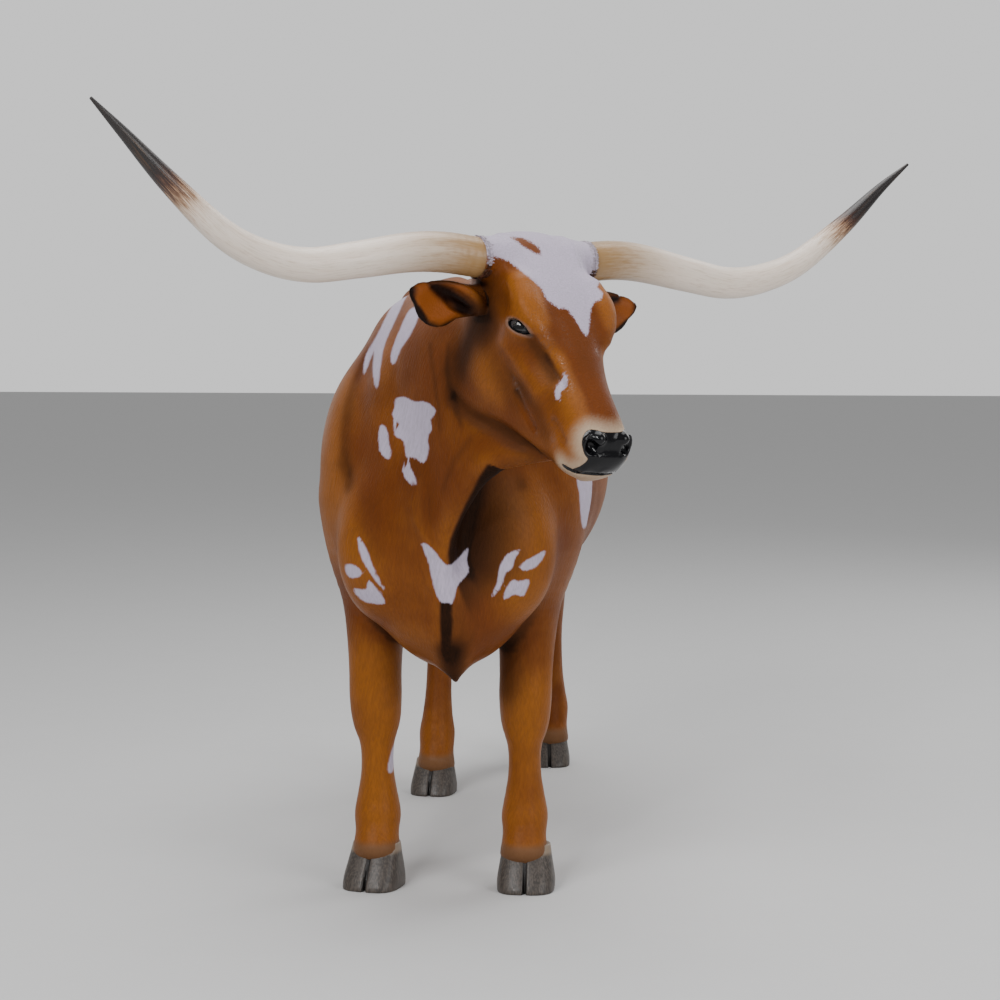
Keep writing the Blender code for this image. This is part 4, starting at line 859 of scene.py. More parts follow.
# Where the clay's frame lies in the statue's: the eyes are at the same place in both.
SHIFT = (eye_middle("eye_left") + eye_middle("eye_right")) / 2
SHIFT -= (eye_place(1).origin + eye_place(-1).origin) / 2
CAMERA = Camera()


def graded(start, fine_from, fine_to, end, fine, coarse):
    """Grid lines that are fine in one stretch and coarse on both sides of it."""
    stretches = [(start, fine_from, coarse), (fine_from, fine_to, fine), (fine_to, end, coarse)]
    lines = [start]
    for a, b, grain in stretches:
        count = int(math.ceil((b - a) / grain))
        if count > 0:
            lines += [a + (b - a) * (i + 1) / count for i in range(count)]
    return np.array(lines)


def new_object(name, mesh):
    thing = bpy.data.objects.new(name, mesh)
    bpy.context.scene.collection.objects.link(thing)
    return thing


def plain_mesh(thing):
    """Turn an object's modifiers into its mesh."""
    bpy.context.view_layer.update()
    result = bpy.data.meshes.new_from_object(thing.evaluated_get(bpy.context.evaluated_depsgraph_get()))
    old = thing.data
    if thing.type == 'CURVE':
        name = thing.name
        bpy.data.objects.remove(thing)
        bpy.data.curves.remove(old)
        thing = new_object(name, result)
    else:
        thing.modifiers.clear()
        thing.data = result
        bpy.data.meshes.remove(old)
    result.name = thing.name
    return thing


def simplify(thing, triangles):
    count = sum(len(p.vertices) - 2 for p in thing.data.polygons)
    if count > triangles:
        decimate = thing.modifiers.new("fewer faces", 'DECIMATE')
        decimate.ratio = triangles / count
        decimate.use_collapse_triangulate = True
        plain_mesh(thing)
    return thing


def keep_main_surface(thing):
    """Drop loose scraps and keep the largest closed surface."""
    mesh = thing.data
    count = len(mesh.vertices)
    edges = np.empty(len(mesh.edges) * 2, np.int32)
    mesh.edges.foreach_get("vertices", edges)
    a, b = edges.reshape(-1, 2).T
    label = np.arange(count)
    while True:
        low = np.minimum(label[a], label[b])
        new = label.copy()
        np.minimum.at(new, a, low)
        np.minimum.at(new, b, low)
        new = new[new]
        if np.array_equal(new, label):
            break
        label = new
    main = np.bincount(label).argmax()
    if np.all(label == main):
        return
    form = bmesh.new()
    form.from_mesh(mesh)
    loose = [v for v in form.verts if label[v.index] != main]
    bmesh.ops.delete(form, geom=loose, context='VERTS')
    form.to_mesh(mesh)
    form.free()


def finished_mesh(name, form):
    mesh = bpy.data.meshes.new(name)
    form.to_mesh(mesh)
    form.free()
    return mesh


def places_of(mesh):
    points = np.empty(len(mesh.vertices) * 3, np.float32)
    mesh.vertices.foreach_get("co", points)
    return points.reshape(-1, 3).astype(float)


def store(mesh, name, values):
    layer = mesh.attributes.new(name, 'FLOAT', 'POINT')
    layer.data.foreach_set("value", np.asarray(values, np.float32))


def smooth_normals(thing, clay):
    """Shade a clay mesh by the slope of the clay itself."""
    mesh = thing.data
    mesh.shade_smooth()
    mesh.normals_split_custom_set_from_vertices(clay.slopes(places_of(mesh)).tolist())


def hollows(mesh, rounds):
    """How far each vertex lies below the smoothed surface around it, in metres."""
    edges = np.empty(len(mesh.edges) * 2, np.int32)
    mesh.edges.foreach_get("vertices", edges)
    a, b = edges.reshape(-1, 2).T
    points = places_of(mesh)
    count = len(points)
    degree = np.bincount(a, minlength=count) + np.bincount(b, minlength=count)
    soft = points.copy()
    for _ in range(rounds):
        total = np.stack([np.bincount(a, soft[b, i], count) + np.bincount(b, soft[a, i], count)
                          for i in range(3)], 1)
        soft = 0.5 * soft + 0.5 * total / degree[:, None]
    normals = np.empty(count * 3, np.float32)
    mesh.vertices.foreach_get("normal", normals)
    return ((soft - points) * normals.reshape(-1, 3)).sum(1)


class Marks:
    """Distances and shares, vertex by vertex, that the painter's brush follows."""

    def __init__(self, mesh):
        self.points = places_of(mesh)
        self.normals = np.empty(len(self.points) * 3, np.float32)
        mesh.vertices.foreach_get("normal", self.normals)
        self.normals = self.normals.reshape(-1, 3).astype(float)
        self.head = (self.points - np.array(HEAD.origin)) @ np.array(HEAD.turn)
        x, y, z = self.head.T
        self.on_head = step(-0.11, -0.07, y) * step(-0.30, -0.26, z + 0.5 * np.minimum(y - 0.1, 0))
        self.on_head *= np.where((np.abs(x) < 0.30) & (y < 0.6) & (z < 0.2), 1, 0)
        self.seen, self.depth = CAMERA.pixels(self.points)
        folded = self.head.copy()
        folded[:, 0] = -np.abs(folded[:, 0])
        folded = folded @ np.array(HEAD.turn).T + np.array(HEAD.origin)
        self.seen_folded, self.depth_folded = CAMERA.pixels(folded)
        towards = np.array(CAMERA_PLACE) - self.points
        towards /= np.linalg.norm(towards, axis=1)[:, None]
        self.facing = (self.normals * towards).sum(1)

    def line_distance(self, line, place):
        """Distance to a line, in metres."""
        nearest = np.full(len(self.points), 1e9)
        corners = [np.array(place.world(p)) for p in line]
        for a, b in zip(corners, corners[1:]):
            side = b - a
            share = np.clip(((self.points - a) @ side) / (side @ side), 0, 1)
            away = self.points - a - share[:, None] * side
            nearest = np.minimum(nearest, np.linalg.norm(away, axis=1))
        return nearest

    def outline(self, outline, on_head, both_sides=False):
        """Distance to an outline in the photograph, above zero inside, in metres."""
        seen, depth = (self.seen_folded, self.depth_folded) if both_sides else (self.seen, self.depth)
        distance = inside(seen, outline) * depth / (CAMERA_FOCAL * PICTURE)
        if not both_sides:
            distance = np.minimum(distance, (self.facing + 0.10) * 0.25)
        share = self.on_head if on_head else 1 - self.on_head
        distance = np.minimum(distance, PHOTO_REACH - self.points[:, 1])
        return np.minimum(distance, (share - 0.5) * 0.2)

    def from_side(self, side, outline):
        """Distance to a ragged outline seen from the animal's left (1) or right (-1)."""
        y, z = self.points[:, 1:].T
        ragged = 0.014 * np.sin(47 * y + 2.3 * np.sin(31 * z))
        ragged += 0.012 * np.sin(53 * z + 2 * np.sin(37 * y))
        turned_away = (side * self.normals[:, 0] - 0.15) * 0.12
        return np.minimum(inside(self.points[:, 1:], outline) + ragged, turned_away)

    def near(self, centre, radius, place):
        """1 in the middle of a soft round spot and 0 outside it."""
        away = self.points - np.array(place.world(centre))
        return 1 - step(0, radius, np.linalg.norm(away, axis=1))

    def near_line(self, line, radius, place=BODY):
        """1 along a line and 0 beyond the radius, with a smooth fall between."""
        return 1 - step(0, radius, self.line_distance(line, place))


def smooth_outline(outline):
    """A closed outline with its corners rounded."""
    steps = 3
    share = np.arange(len(outline) * steps) / steps + 1
    return spline(outline[-1:] + outline + outline[:2], share)


def nose_black(marks):
    """Distance to the edge of the black on the nose and along the mouth, above zero inside it."""
    pad = marks.outline(smooth_outline(NOSE_PAD), True, both_sides=True)
    mouth = LIP + [(-x, y, z) for x, y, z in LIP[-2::-1]]
    return np.maximum(pad, 0.0060 - marks.line_distance(mouth, HEAD))


def white_edges(marks):
    """Distance to the edge of the nearest white patch, above zero inside it."""
    white = np.full(len(marks.points), -1.0)
    for outline in WHITE_ON_BODY.values():
        white = np.maximum(white, marks.outline(smooth_outline(outline), False))
    for outline in WHITE_ON_HEAD.values():
        white = np.maximum(white, marks.outline(smooth_outline(outline), True))
    for outline in BROWN_ON_HEAD.values():
        white = np.minimum(white, -marks.outline(outline, True))
    for side, outline in UNSEEN_WHITE:
        white = np.maximum(white, marks.from_side(side, smooth_outline(outline)))
    for side, y, z, radius in UNSEEN_SPOTS:
        corners = [(y + 1.3 * radius * math.cos(turn), z + radius * math.sin(turn))
                   for turn in np.linspace(0, 5.6, 10)]
        white = np.maximum(white, marks.from_side(side, corners))
    return white


def brushed(marks, strokes, place, both_sides):
    """Soft strokes, used for painted shade, painted light and the varnish's gloss: strength, radius and
    the line that each follows.
    """
    total = np.zeros(len(marks.points))
    for strength, radius, line in strokes:
        for side in (1, -1) if both_sides else (1,):
            total += strength * marks.near_line([(side * x, y, z) for x, y, z in line], radius, place)
    return total


def throat_shade(marks):
    """Painted shadow on the left side of the dewlap: crisp along its edge and soft away from it."""
    crisp = step(-0.006, 0.006, marks.outline(DARK_ON_BODY["throat_shadow"], False))
    line = [edge for edge, _, _ in DEWLAP[1:7]]
    return crisp * marks.near_line(line, 0.27) * step(0.60, 0.76, marks.points[:, 2])


def eye_rims(marks):
    """Distance outwards from the edge of the lids' opening, in metres."""
    nearest = np.full(len(marks.points), 1.0)
    for side in (-1, 1):
        place = eye_place(side)
        u, v, w = ((marks.points - np.array(place.origin)) @ np.array(place.turn)).T
        ring = (np.sqrt(((u - 0.001) / 0.0250) ** 2 + (w / 0.0100) ** 2) - 1) * 0.0130
        nearest = np.minimum(nearest, np.where(v > 0.0, ring, 1.0))
    return nearest


def ear_shares(marks):
    """The painted shade in an ear's cavity, and how near an ear's rim and how far inside its cup a vertex
    lies.
    """
    cavity_shade = np.zeros(len(marks.points))
    rim = np.zeros(len(marks.points))
    cup = np.zeros(len(marks.points))
    stations = np.array(EAR)
    for side in (-1, 1):
        place = ear_place(side)
        u, v, w = ((marks.points - np.array(place.origin)) @ np.array(place.turn)).T
        near = (v > 0.005) & (v < 0.21) & (np.abs(u) < 0.06) & (np.abs(w) < 0.045)
        middle = np.interp(v, stations[:, 1], stations[:, 0]) * side
        width = np.interp(v, stations[:, 1], stations[:, 3])
        off = (u - middle) * side / width
        across = np.abs(off)
        inner = near * step(0.0, 0.5, marks.normals @ np.array(place.turn)[:, 2])
        edge = step(0.72, 1.08, across) * step(1.8, 1.5, across) + step(0.172, 0.190, v)
        rim = np.maximum(rim, near * np.minimum(edge, 1) * step(0.03, 0.09, v))
        cup = np.maximum(cup, inner * step(1.0, 0.85, across) * step(0.045, 0.085, v))
        shadow = step(-0.010, 0.006, inside(np.column_stack([v, u * side]), EAR_CAVITY_SHADE))
        cavity_shade = np.maximum(cavity_shade, near * shadow * step(-0.010, 0.002, w))
    return cavity_shade, rim, cup


class Nodes:
    """A tree of nodes that are added one at a time. Each call gives a socket to go on from."""

    def add(self, kind, sockets, output=0, **settings):
        node = self.tree.nodes.new(kind)
        for key, value in settings.items():
            setattr(node, key, value)
        for key, value in sockets.items():
            socket = node.inputs[key]
            if isinstance(value, bpy.types.NodeSocket):
                self.tree.links.new(value, socket)
            else:
                socket.default_value = value
        return node.outputs[output]


class Paint(Nodes):
    """A material, built from its nodes."""

    def __init__(self, name, roughness=0.5, coat=0.0, specular=0.4):
        self.material = bpy.data.materials.new(name)
        self.material.use_nodes = True
        self.tree = self.material.node_tree
        self.surface = self.tree.nodes["Principled BSDF"]
        self.surface.inputs["Roughness"].default_value = roughness
        self.surface.inputs["Coat Weight"].default_value = coat
        self.surface.inputs["Coat Roughness"].default_value = 0.10
        self.surface.inputs["Specular IOR Level"].default_value = specular

    def share(self, name):
        """A number stored on the mesh."""
        return self.add("ShaderNodeAttribute", {}, 2, attribute_name=name)

    def place(self, turn=(0, 0, 0), size=(1, 1, 1)):
        """Places on the piece, turned, and measured in units of the given size."""
        places = self.add("ShaderNodeTexCoord", {}, 3)
        return self.add("ShaderNodeMapping", {"Vector": places, "Rotation": turn, "Scale": size},
                        vector_type='TEXTURE')

    def noise(self, vector, scale, detail, roughness=0.5):
        return self.add("ShaderNodeTexNoise", {"Vector": vector, "Scale": scale, "Detail": detail,
                                               "Roughness": roughness})

    def rise(self, value, low, high, to_low=0.0, to_high=1.0):
        """A smooth step between two values."""
        return self.add("ShaderNodeMapRange", {"Value": value, "From Min": low, "From Max": high,
                                               "To Min": to_low, "To Max": to_high},
                        interpolation_type='SMOOTHSTEP')

    def sum(self, a, b):
        return self.add("ShaderNodeMath", {0: a, 1: b}, operation='ADD')

    def times(self, a, b):
        return self.add("ShaderNodeMath", {0: a, 1: b}, operation='MULTIPLY')

    def mix(self, share, a, b):
        return self.add("ShaderNodeMix", {0: share, 6: colour(a), 7: colour(b)}, 2, data_type='RGBA')

    def finish(self, base, height=None, relief=0.001, strength=1.0, roughness=None):
        links = self.tree.links
        links.new(base, self.surface.inputs["Base Color"])
        if roughness is not None:
            links.new(roughness, self.surface.inputs["Roughness"])
        if height is not None:
            bump = self.add("ShaderNodeBump", {"Strength": strength, "Distance": relief, "Height": height})
            links.new(bump, self.surface.inputs["Normal"])
            links.new(bump, self.surface.inputs["Coat Normal"])
        return self.material


def colour(value):
    return value if isinstance(value, bpy.types.NodeSocket) else (*tuple(value)[:3], 1.0)


def hair_strokes(paint, turn, length, width):
    """Carved hair: two layers of strokes that cross at a small angle."""
    lean = 0.22
    thin = width * 0.7
    first = paint.place((turn[0], turn[1] + lean, turn[2]), (width, width, length))
    first = paint.noise(first, 1.0, 2.0)
    second = paint.place((turn[0], turn[1] - lean, turn[2]), (thin, thin, length))
    second = paint.noise(second, 1.0, 1.0)
    return paint.sum(paint.times(first, 0.6), paint.times(second, 0.4))


def coat_paint(sizes):
    paint = Paint("painted coat", roughness=0.42, coat=0.08, specular=0.09)
    face_turn = (HEAD.turn @ Matrix(((1, 0, 0), (0, 0, 1), (0, -1, 0)))).to_euler()
    width, length = sizes.stroke_width, sizes.stroke_length
    down = hair_strokes(paint, (0.10, 0.0, 0.0), length, width)
    back = hair_strokes(paint, (-1.05, 0.0, 0.0), length, width)
    face = hair_strokes(paint, face_turn, length * 0.7, width * 0.8)
    hair = paint.add("ShaderNodeMix", {0: paint.share("flank"), 2: down, 3: back})
    hair = paint.add("ShaderNodeMix", {0: paint.share("head"), 2: hair, 3: face})
    cloud = paint.noise(paint.place(), 5.0, 3.0)
    streak = paint.rise(hair, 0.35, 0.65)
    hollow = paint.share("hollow")

    # Painted light: warmer and lighter on raised places, where the hollow share is below zero, and along
    # the strokes of painted light; the cloud adds a random warmer tone.
    warm = paint.sum(paint.rise(cloud, 0.35, 0.70, 0.0, 0.55), paint.share("warm"))
    warm = paint.sum(warm, paint.rise(hollow, 0.0, -0.006, 0.0, 0.35))
    base = paint.mix(paint.rise(warm, 0.0, 1.1), sizes.chestnut, sizes.amber_highlight)
    # Painted shade: darker brown in hollows and creases and along the strokes of painted shade, darkest
    # where that shade is deepest; the cloud adds a little random darkening.
    dark = paint.sum(paint.share("dark"), paint.rise(hollow, 0.0005, 0.006, 0.0, 0.45))
    dark = paint.sum(dark, paint.rise(cloud, 0.42, 0.25, 0.0, 0.2))
    base = paint.mix(paint.rise(dark, 0.0, 0.8), base, sizes.shade)
    base = paint.mix(paint.rise(dark, 0.65, 1.0), base, sizes.deep_shade)
    # Painted shade in the grooves of the carved hair.
    base = paint.mix(paint.times(streak, 0.22), base, sizes.shade)

    ragged = paint.rise(paint.share("head"), 0.0, 1.0, 0.008, 0.018)
    fringe = paint.times(paint.sum(hair, -0.5), ragged)
    edge = paint.sum(paint.share("white"), fringe)
    # On the white patches the same grooves get a grey of painted shade.
    grey = paint.mix(paint.times(streak, 0.6), sizes.white, sizes.white_shade)
    base = paint.mix(paint.rise(edge, -0.0034, 0.0016), base, grey)

    base = paint.mix(paint.share("ear_cup"), base, sizes.ear_inside)
    base = paint.mix(paint.share("ear_rim"), base, sizes.ear_rim_and_shade)
    # Painted shade deep in the ear's cavity.
    base = paint.mix(paint.share("ear_deep"), base, sizes.ear_rim_and_shade)
    nose = paint.share("nose")
    base = paint.mix(paint.rise(paint.sum(nose, fringe), -0.038, 0.002, 0.0, 0.9), base, sizes.cream)
    base = paint.mix(paint.share("chin"), base, sizes.cream)
    black = paint.rise(nose, -0.0015, 0.0005)
    base = paint.mix(black, base, sizes.nose)
    rim = paint.share("eye_rim")
    base = paint.mix(paint.rise(rim, 0.0100, 0.0010, 0.0, 0.50), base, sizes.eye_ring)
    base = paint.mix(paint.rise(rim, 0.0020, -0.0002), base, sizes.nose)
    base = paint.mix(paint.rise(paint.share("height"), 0.112, 0.094), base, sizes.coronet)

    pores = paint.noise(paint.place(), 260.0, 2.0)
    gloss_share = paint.times(paint.share("gloss"), paint.rise(hair, 0.42, 0.62))
    relief = paint.add("ShaderNodeMix", {0: black, 2: hair, 3: paint.times(pores, 0.06)})
    varnish = paint.sum(paint.rise(cloud, 0.40, 0.65, 0.46, 0.34), paint.rise(dark, 0.1, 0.8, 0.0, 0.3))
    gloss = paint.add("ShaderNodeMix", {0: black, 2: varnish, 3: 0.18})
    shine = paint.sum(paint.times(gloss_share, 0.9), paint.times(black, 0.4))
    paint.tree.links.new(shine, paint.surface.inputs["Coat Weight"])
    return paint.finish(base, relief, sizes.stroke_depth, 1.0, gloss)


def horn_paint(sizes):
    """Tan at the root, ivory along the middle, streaked brown and then black at the tip."""
    paint = Paint("painted horn", roughness=0.36, coat=0.25)
    along = paint.share("along")
    grain = paint.add("ShaderNodeAttribute", {}, 1, attribute_name="grain")
    fine = paint.noise(grain, 3.0, 4.0, 0.6)
    coarse = paint.noise(grain, 1.1, 2.0)
    ragged = paint.times(paint.sum(fine, -0.5), 0.16)
    start = paint.sum(along, paint.times(ragged, 1.4))
    base = paint.mix(paint.rise(start, 0.02, 0.30), sizes.root, sizes.ivory)
    base = paint.mix(paint.rise(fine, 0.45, 0.75, 0.0, 0.35), base, sizes.root)
    base = paint.mix(paint.rise(paint.sum(along, ragged), 0.66, 0.76, 0.0, 0.8), base, sizes.streak)
    base = paint.mix(paint.rise(paint.sum(along, paint.times(ragged, 1.3)), 0.70, 0.79), base, sizes.brown)
    base = paint.mix(paint.rise(paint.sum(along, ragged), 0.74, 0.83), base, sizes.tip)
    base = paint.mix(paint.rise(coarse, 0.55, 0.8, 0.0, 0.18), base, sizes.streak)
    base = paint.mix(paint.rise(along, 0.03, 0.0, 0.0, 0.6), base, sizes.brown)
    return paint.finish(base, fine, 0.0006, 0.6)


def hoof_paint(sizes):
    paint = Paint("painted hoof", roughness=0.5, coat=0.1)
    rings = paint.noise(paint.place(size=(0.2, 0.2, 0.006)), 1.0, 3.0)
    grain = paint.noise(paint.place(size=(0.0035, 0.0035, 0.05)), 1.0, 3.0)
    cloud = paint.noise(paint.place(), 30.0, 3.0)
    base = paint.mix(paint.rise(grain, 0.35, 0.7), sizes.horn_dark, sizes.horn_light)
    base = paint.mix(paint.rise(cloud, 0.45, 0.75, 0.0, 0.5), base, sizes.horn_light)
    # Painted shade in the cleft between the claws.
    base = paint.mix(paint.rise(paint.share("groove"), 0.2, 0.9), base, sizes.groove)
    base = paint.mix(paint.rise(paint.share("height"), 0.84, 0.98, 0.0, 0.75), base, sizes.band)
    relief = paint.sum(paint.times(rings, 0.6), paint.times(grain, 0.4))
    return paint.finish(base, relief, 0.0012, 0.8)


def eye_paint(sizes):
    paint = Paint("painted eye", roughness=0.12, coat=0.5)
    out = paint.share("out")
    rays = paint.noise(paint.place(), 220.0, 3.0)
    base = paint.mix(paint.rise(out, 0.60, 0.70), sizes.outer, sizes.iris)
    base = paint.mix(paint.times(paint.rise(rays, 0.4, 0.7), 0.4), base, sizes.outer)
    base = paint.mix(paint.rise(out, 0.885, 0.905), base, sizes.pupil)
    return paint.finish(base)


def tuft_paint(name, dark, light):
    paint = Paint(name, roughness=0.45, coat=0.15)
    strands = paint.noise(paint.place(size=(0.004, 0.004, 0.05)), 1.0, 3.0)
    along = paint.share("along")
    # Painted shade between the strands, where the relief is low; each tuft also gets darker towards its
    # root.
    base = paint.mix(paint.rise(strands, 0.35, 0.65), dark, light)
    base = paint.mix(paint.rise(along, 0.35, 0.0, 0.0, 0.5), base, dark)
    return paint.finish(base, strands, 0.0012, 0.8)


class Tree(Nodes):
    """A Geometry Nodes tree, with named sizes as its inputs."""

    def __init__(self, name):
        self.tree = bpy.data.node_groups.new(name, 'GeometryNodeTree')
        self.tree.interface.new_socket("Geometry", in_out='INPUT', socket_type='NodeSocketGeometry')
        self.tree.interface.new_socket("Geometry", in_out='OUTPUT', socket_type='NodeSocketGeometry')
        self.source = self.tree.nodes.new("NodeGroupInput")
        self.values = {}

    def size(self, name, value, kind='NodeSocketFloat'):
        """A named input and the value it gets; gives the socket that carries it."""
        item = self.tree.interface.new_socket(name, in_out='INPUT', socket_type=kind)
        self.values[item.identifier] = value
        return self.source.outputs[name]

    def maths(self, operation, a, b=0.0):
        return self.add("ShaderNodeMath", {0: a, 1: b}, operation=operation)

    def scaled(self, vector, by):
        return self.add("ShaderNodeVectorMath", {0: vector, 3: by}, operation='SCALE')

    def keep(self, geometry, name, value, kind='FLOAT'):
        """Store a value on the geometry under a name."""
        sockets = {"Geometry": geometry, "Name": name, "Value": value}
        return self.add("GeometryNodeStoreNamedAttribute", sockets, data_type=kind)

    def kept(self, name, kind='FLOAT'):
        return self.add("GeometryNodeInputNamedAttribute", {"Name": name}, data_type=kind)

    def tube(self, curve, ring):
        """A closed skin round a curve, as thick as the curve's radius."""
        radius = self.add("GeometryNodeInputRadius", {})
        sockets = {"Curve": curve, "Profile Curve": ring, "Scale": radius, "Fill Caps": True}
        return self.add("GeometryNodeCurveToMesh", sockets)

    def grow(self, thing, geometry, material):
        """End the tree with real faces and a material, run it on an object and keep the mesh."""
        geometry = self.add("GeometryNodeRealizeInstances", {"Geometry": geometry})
        geometry = self.add("GeometryNodeSetMaterial", {"Geometry": geometry, "Material": material})
        end = self.tree.nodes.new("NodeGroupOutput")
        self.tree.links.new(geometry, end.inputs[0])
        modifier = thing.modifiers.new("grown", 'NODES')
        modifier.node_group = self.tree
        for identifier, value in self.values.items():
            modifier[identifier] = value
        thing = plain_mesh(thing)
        thing.data.shade_smooth()
        bpy.data.node_groups.remove(self.tree)
        return thing


def path_object(name, lines):
    """A curve object of smooth lines, each a list of (place, radius)."""
    curve = bpy.data.curves.new(name, 'CURVE')
    curve.dimensions = '3D'
    for line in lines:
        spline_part = curve.splines.new('POLY')
        spline_part.points.add(len(line) - 1)
        for point, (place, radius) in zip(spline_part.points, line):
            point.co = (*place, 1.0)
            point.radius = radius
    return new_object(name, curve)


def settle(thing, nodes):
    """Put a finished piece on the statue: hang it from the root, and hide the parts that it stands for."""
    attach(thing, "root")
    if nodes:
        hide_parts(*nodes)
    return thing


SKIN_NODES = ["head", "muzzle", "neck", "torso", "ear_left", "ear_right", "tail",
              "foreleg_left", "foreleg_right", "hindleg_left", "hindleg_right"]


# The block of clay for the skin, and the part of it round the head that gets the finer grain.
SKIN_BLOCK = ((-0.40, -0.65, 0.03), (0.43, 1.70, 1.50))
HEAD_BLOCK = ((-0.07, -0.65, 0.93), (0.43, -0.02, 1.50))
CHIN = (0, 0.465, -0.105)


def build_skin(sizes):
    clay = Clay([graded(low, fine_from, fine_to, high, sizes.fine_grain, sizes.coarse_grain)
                 for low, fine_from, fine_to, high in zip(SKIN_BLOCK[0], *HEAD_BLOCK, SKIN_BLOCK[1])])
    model_body(clay)
    model_head(clay)
    clay.add(limb(TAIL), 0.04)
    thing = new_object("skin", clay.mesh("skin"))
    keep_main_surface(thing)
    simplify(thing, sizes.skin_faces)
    smooth_normals(thing, clay)
    mesh = thing.data
    marks = Marks(mesh)
    cavity_shade, rim, cup = ear_shares(marks)
    # The dark stripe down the brisket, the painted shadow beside the dewlap and the strokes of painted
    # shade; then the strokes of painted light.
    dark = step(-0.006, 0.004, marks.outline(DARK_ON_BODY["chest_stripe"], False)) + throat_shade(marks)
    dark += brushed(marks, PAINTED_SHADE_ON_HEAD, HEAD, True)
    dark += brushed(marks, PAINTED_SHADE_ON_BODY, BODY, False)
    warm = brushed(marks, PAINTED_LIGHT_ON_HEAD, HEAD, True)
    warm += brushed(marks, PAINTED_LIGHT_ON_BODY, BODY, False)
    y, z = marks.points[:, 1:].T
    painted = {"white": white_edges(marks), "nose": nose_black(marks), "eye_rim": eye_rims(marks),
               "ear_deep": cavity_shade, "ear_rim": rim, "ear_cup": cup,
               "dark": np.clip(dark, 0, 1), "warm": np.clip(warm, -1, 1),
               "gloss": np.clip(brushed(marks, GLOSS_STROKES_ON_HEAD, HEAD, True), 0, 1),
               "chin": 0.85 * marks.near(CHIN, 0.046, HEAD), "hollow": hollows(mesh, 60),
               "head": marks.on_head, "flank": step(0.15, 0.45, y) * step(0.55, 0.75, z), "height": z}
    for name, values in painted.items():
        store(mesh, name, values)
    mesh.materials.append(coat_paint(sizes))
    mesh.transform(Matrix.Translation(SHIFT))
    settle(thing, SKIN_NODES)


# How many times coarser the horn's grain is along it than across, as units of noise per length
# and per radius.
HORN_GRAIN_ALONG = 9.0
HORN_GRAIN_ACROSS = 4.0
HORN_ROWS = 120  # smooth places along a horn's middle line


def build_horns(sizes):
    material = horn_paint(sizes)
    for side, name in ((1, "horn_left"), (-1, "horn_right")):
        rows = spline(mirrored(side, HORN), np.linspace(0, len(HORN) - 1, HORN_ROWS))
        line = [(CROWN.world(r[:3]) + SHIFT, max(r[3], 0.0015)) for r in rows]
        start = CROWN.world((side * (HORN_CUT - sizes.root_depth), 0, 0)) + SHIFT
        thing = path_object(name + "_painted", [[(start, rows[0][3])] + line])
        tree = Tree("horn")
        around = tree.size("Sides", sizes.sides, 'NodeSocketInt')
        steps = tree.size("Steps along", sizes.steps, 'NodeSocketInt')
        ridge = tree.size("Ridge height", sizes.ridge)
        count = tree.size("Ridges", sizes.ridges)
        curve = tree.add("GeometryNodeResampleCurve", {"Curve": tree.source.outputs[0], "Count": steps})
        curve = tree.keep(curve, "along", tree.add("GeometryNodeSplineParameter", {}))
        ring = tree.add("GeometryNodeCurvePrimitiveCircle", {"Resolution": around, "Radius": 1.0})
        ring = tree.keep(ring, "spoke", tree.add("GeometryNodeInputPosition", {}), 'FLOAT_VECTOR')
        mesh = tree.tube(curve, ring)
        along = tree.kept("along")
        lengthwise = tree.add("ShaderNodeCombineXYZ",
                              {"X": 0.0, "Y": 0.0, "Z": tree.maths('MULTIPLY', along, HORN_GRAIN_ALONG)})
        across = tree.scaled(tree.kept("spoke", 'FLOAT_VECTOR'), HORN_GRAIN_ACROSS)
        grain = tree.add("ShaderNodeVectorMath", {0: across, 1: lengthwise})
        mesh = tree.keep(mesh, "grain", grain, 'FLOAT_VECTOR')
        wobble = tree.add("ShaderNodeTexNoise", {"Vector": grain, "Scale": 0.6, "Detail": 2.0})
        phase = tree.maths('MULTIPLY', along, count)
        phase = tree.maths('ADD', phase, tree.maths('MULTIPLY', wobble, 0.8))
        wave = tree.maths('SINE', tree.maths('MULTIPLY', phase, 2 * math.pi))
        fade = tree.maths('SUBTRACT', 1.0, tree.maths('MULTIPLY', along, 3.0))
        fade = tree.maths('MAXIMUM', fade, 0.0)
        lift = tree.maths('MULTIPLY', tree.maths('MULTIPLY', wave, fade), ridge)
        offset = tree.scaled(tree.add("GeometryNodeInputNormal", {}), lift)
        mesh = tree.add("GeometryNodeSetPosition", {"Geometry": mesh, "Offset": offset})
        thing = tree.grow(thing, mesh, material)
        settle(thing, [name])


def lock_shape(name, sides, length, width, thick):
    """One tuft of hair: a tapered, slightly bent spindle that points along +X."""
    form = bmesh.new()
    rings = []
    for share, swell in ((0.0, 0.7), (0.35, 1.0), (0.7, 0.75), (1.0, 0.0)):
        if swell == 0.0:
            rings.append([form.verts.new((length, 0, -thick * 0.6))])
            continue
        turns = [2 * math.pi * i / sides for i in range(sides)]
        rings.append([form.verts.new((share * length, swell * width * math.cos(turn),
                                      swell * thick * math.sin(turn) - share * thick * 0.4))
                      for turn in turns])
    form.faces.new(rings[0])
    for a, b in zip(rings, rings[1:]):
        for i in range(sides):
            j = (i + 1) % sides
            form.faces.new((a[i], a[j], b[j], b[i]) if len(b) > 1 else (a[i], a[j], b[0]))
    bmesh.ops.recalc_face_normals(form, faces=form.faces)
    mesh = finished_mesh(name, form)
    store(mesh, "along", [v.co.x / length for v in mesh.vertices])
    return new_object(name, mesh)


STRAY = 0.18  # how far a tuft leans from the hair's direction, as a share of its length
COLLAR_ROWS = 3
COLLAR_SEED = 7


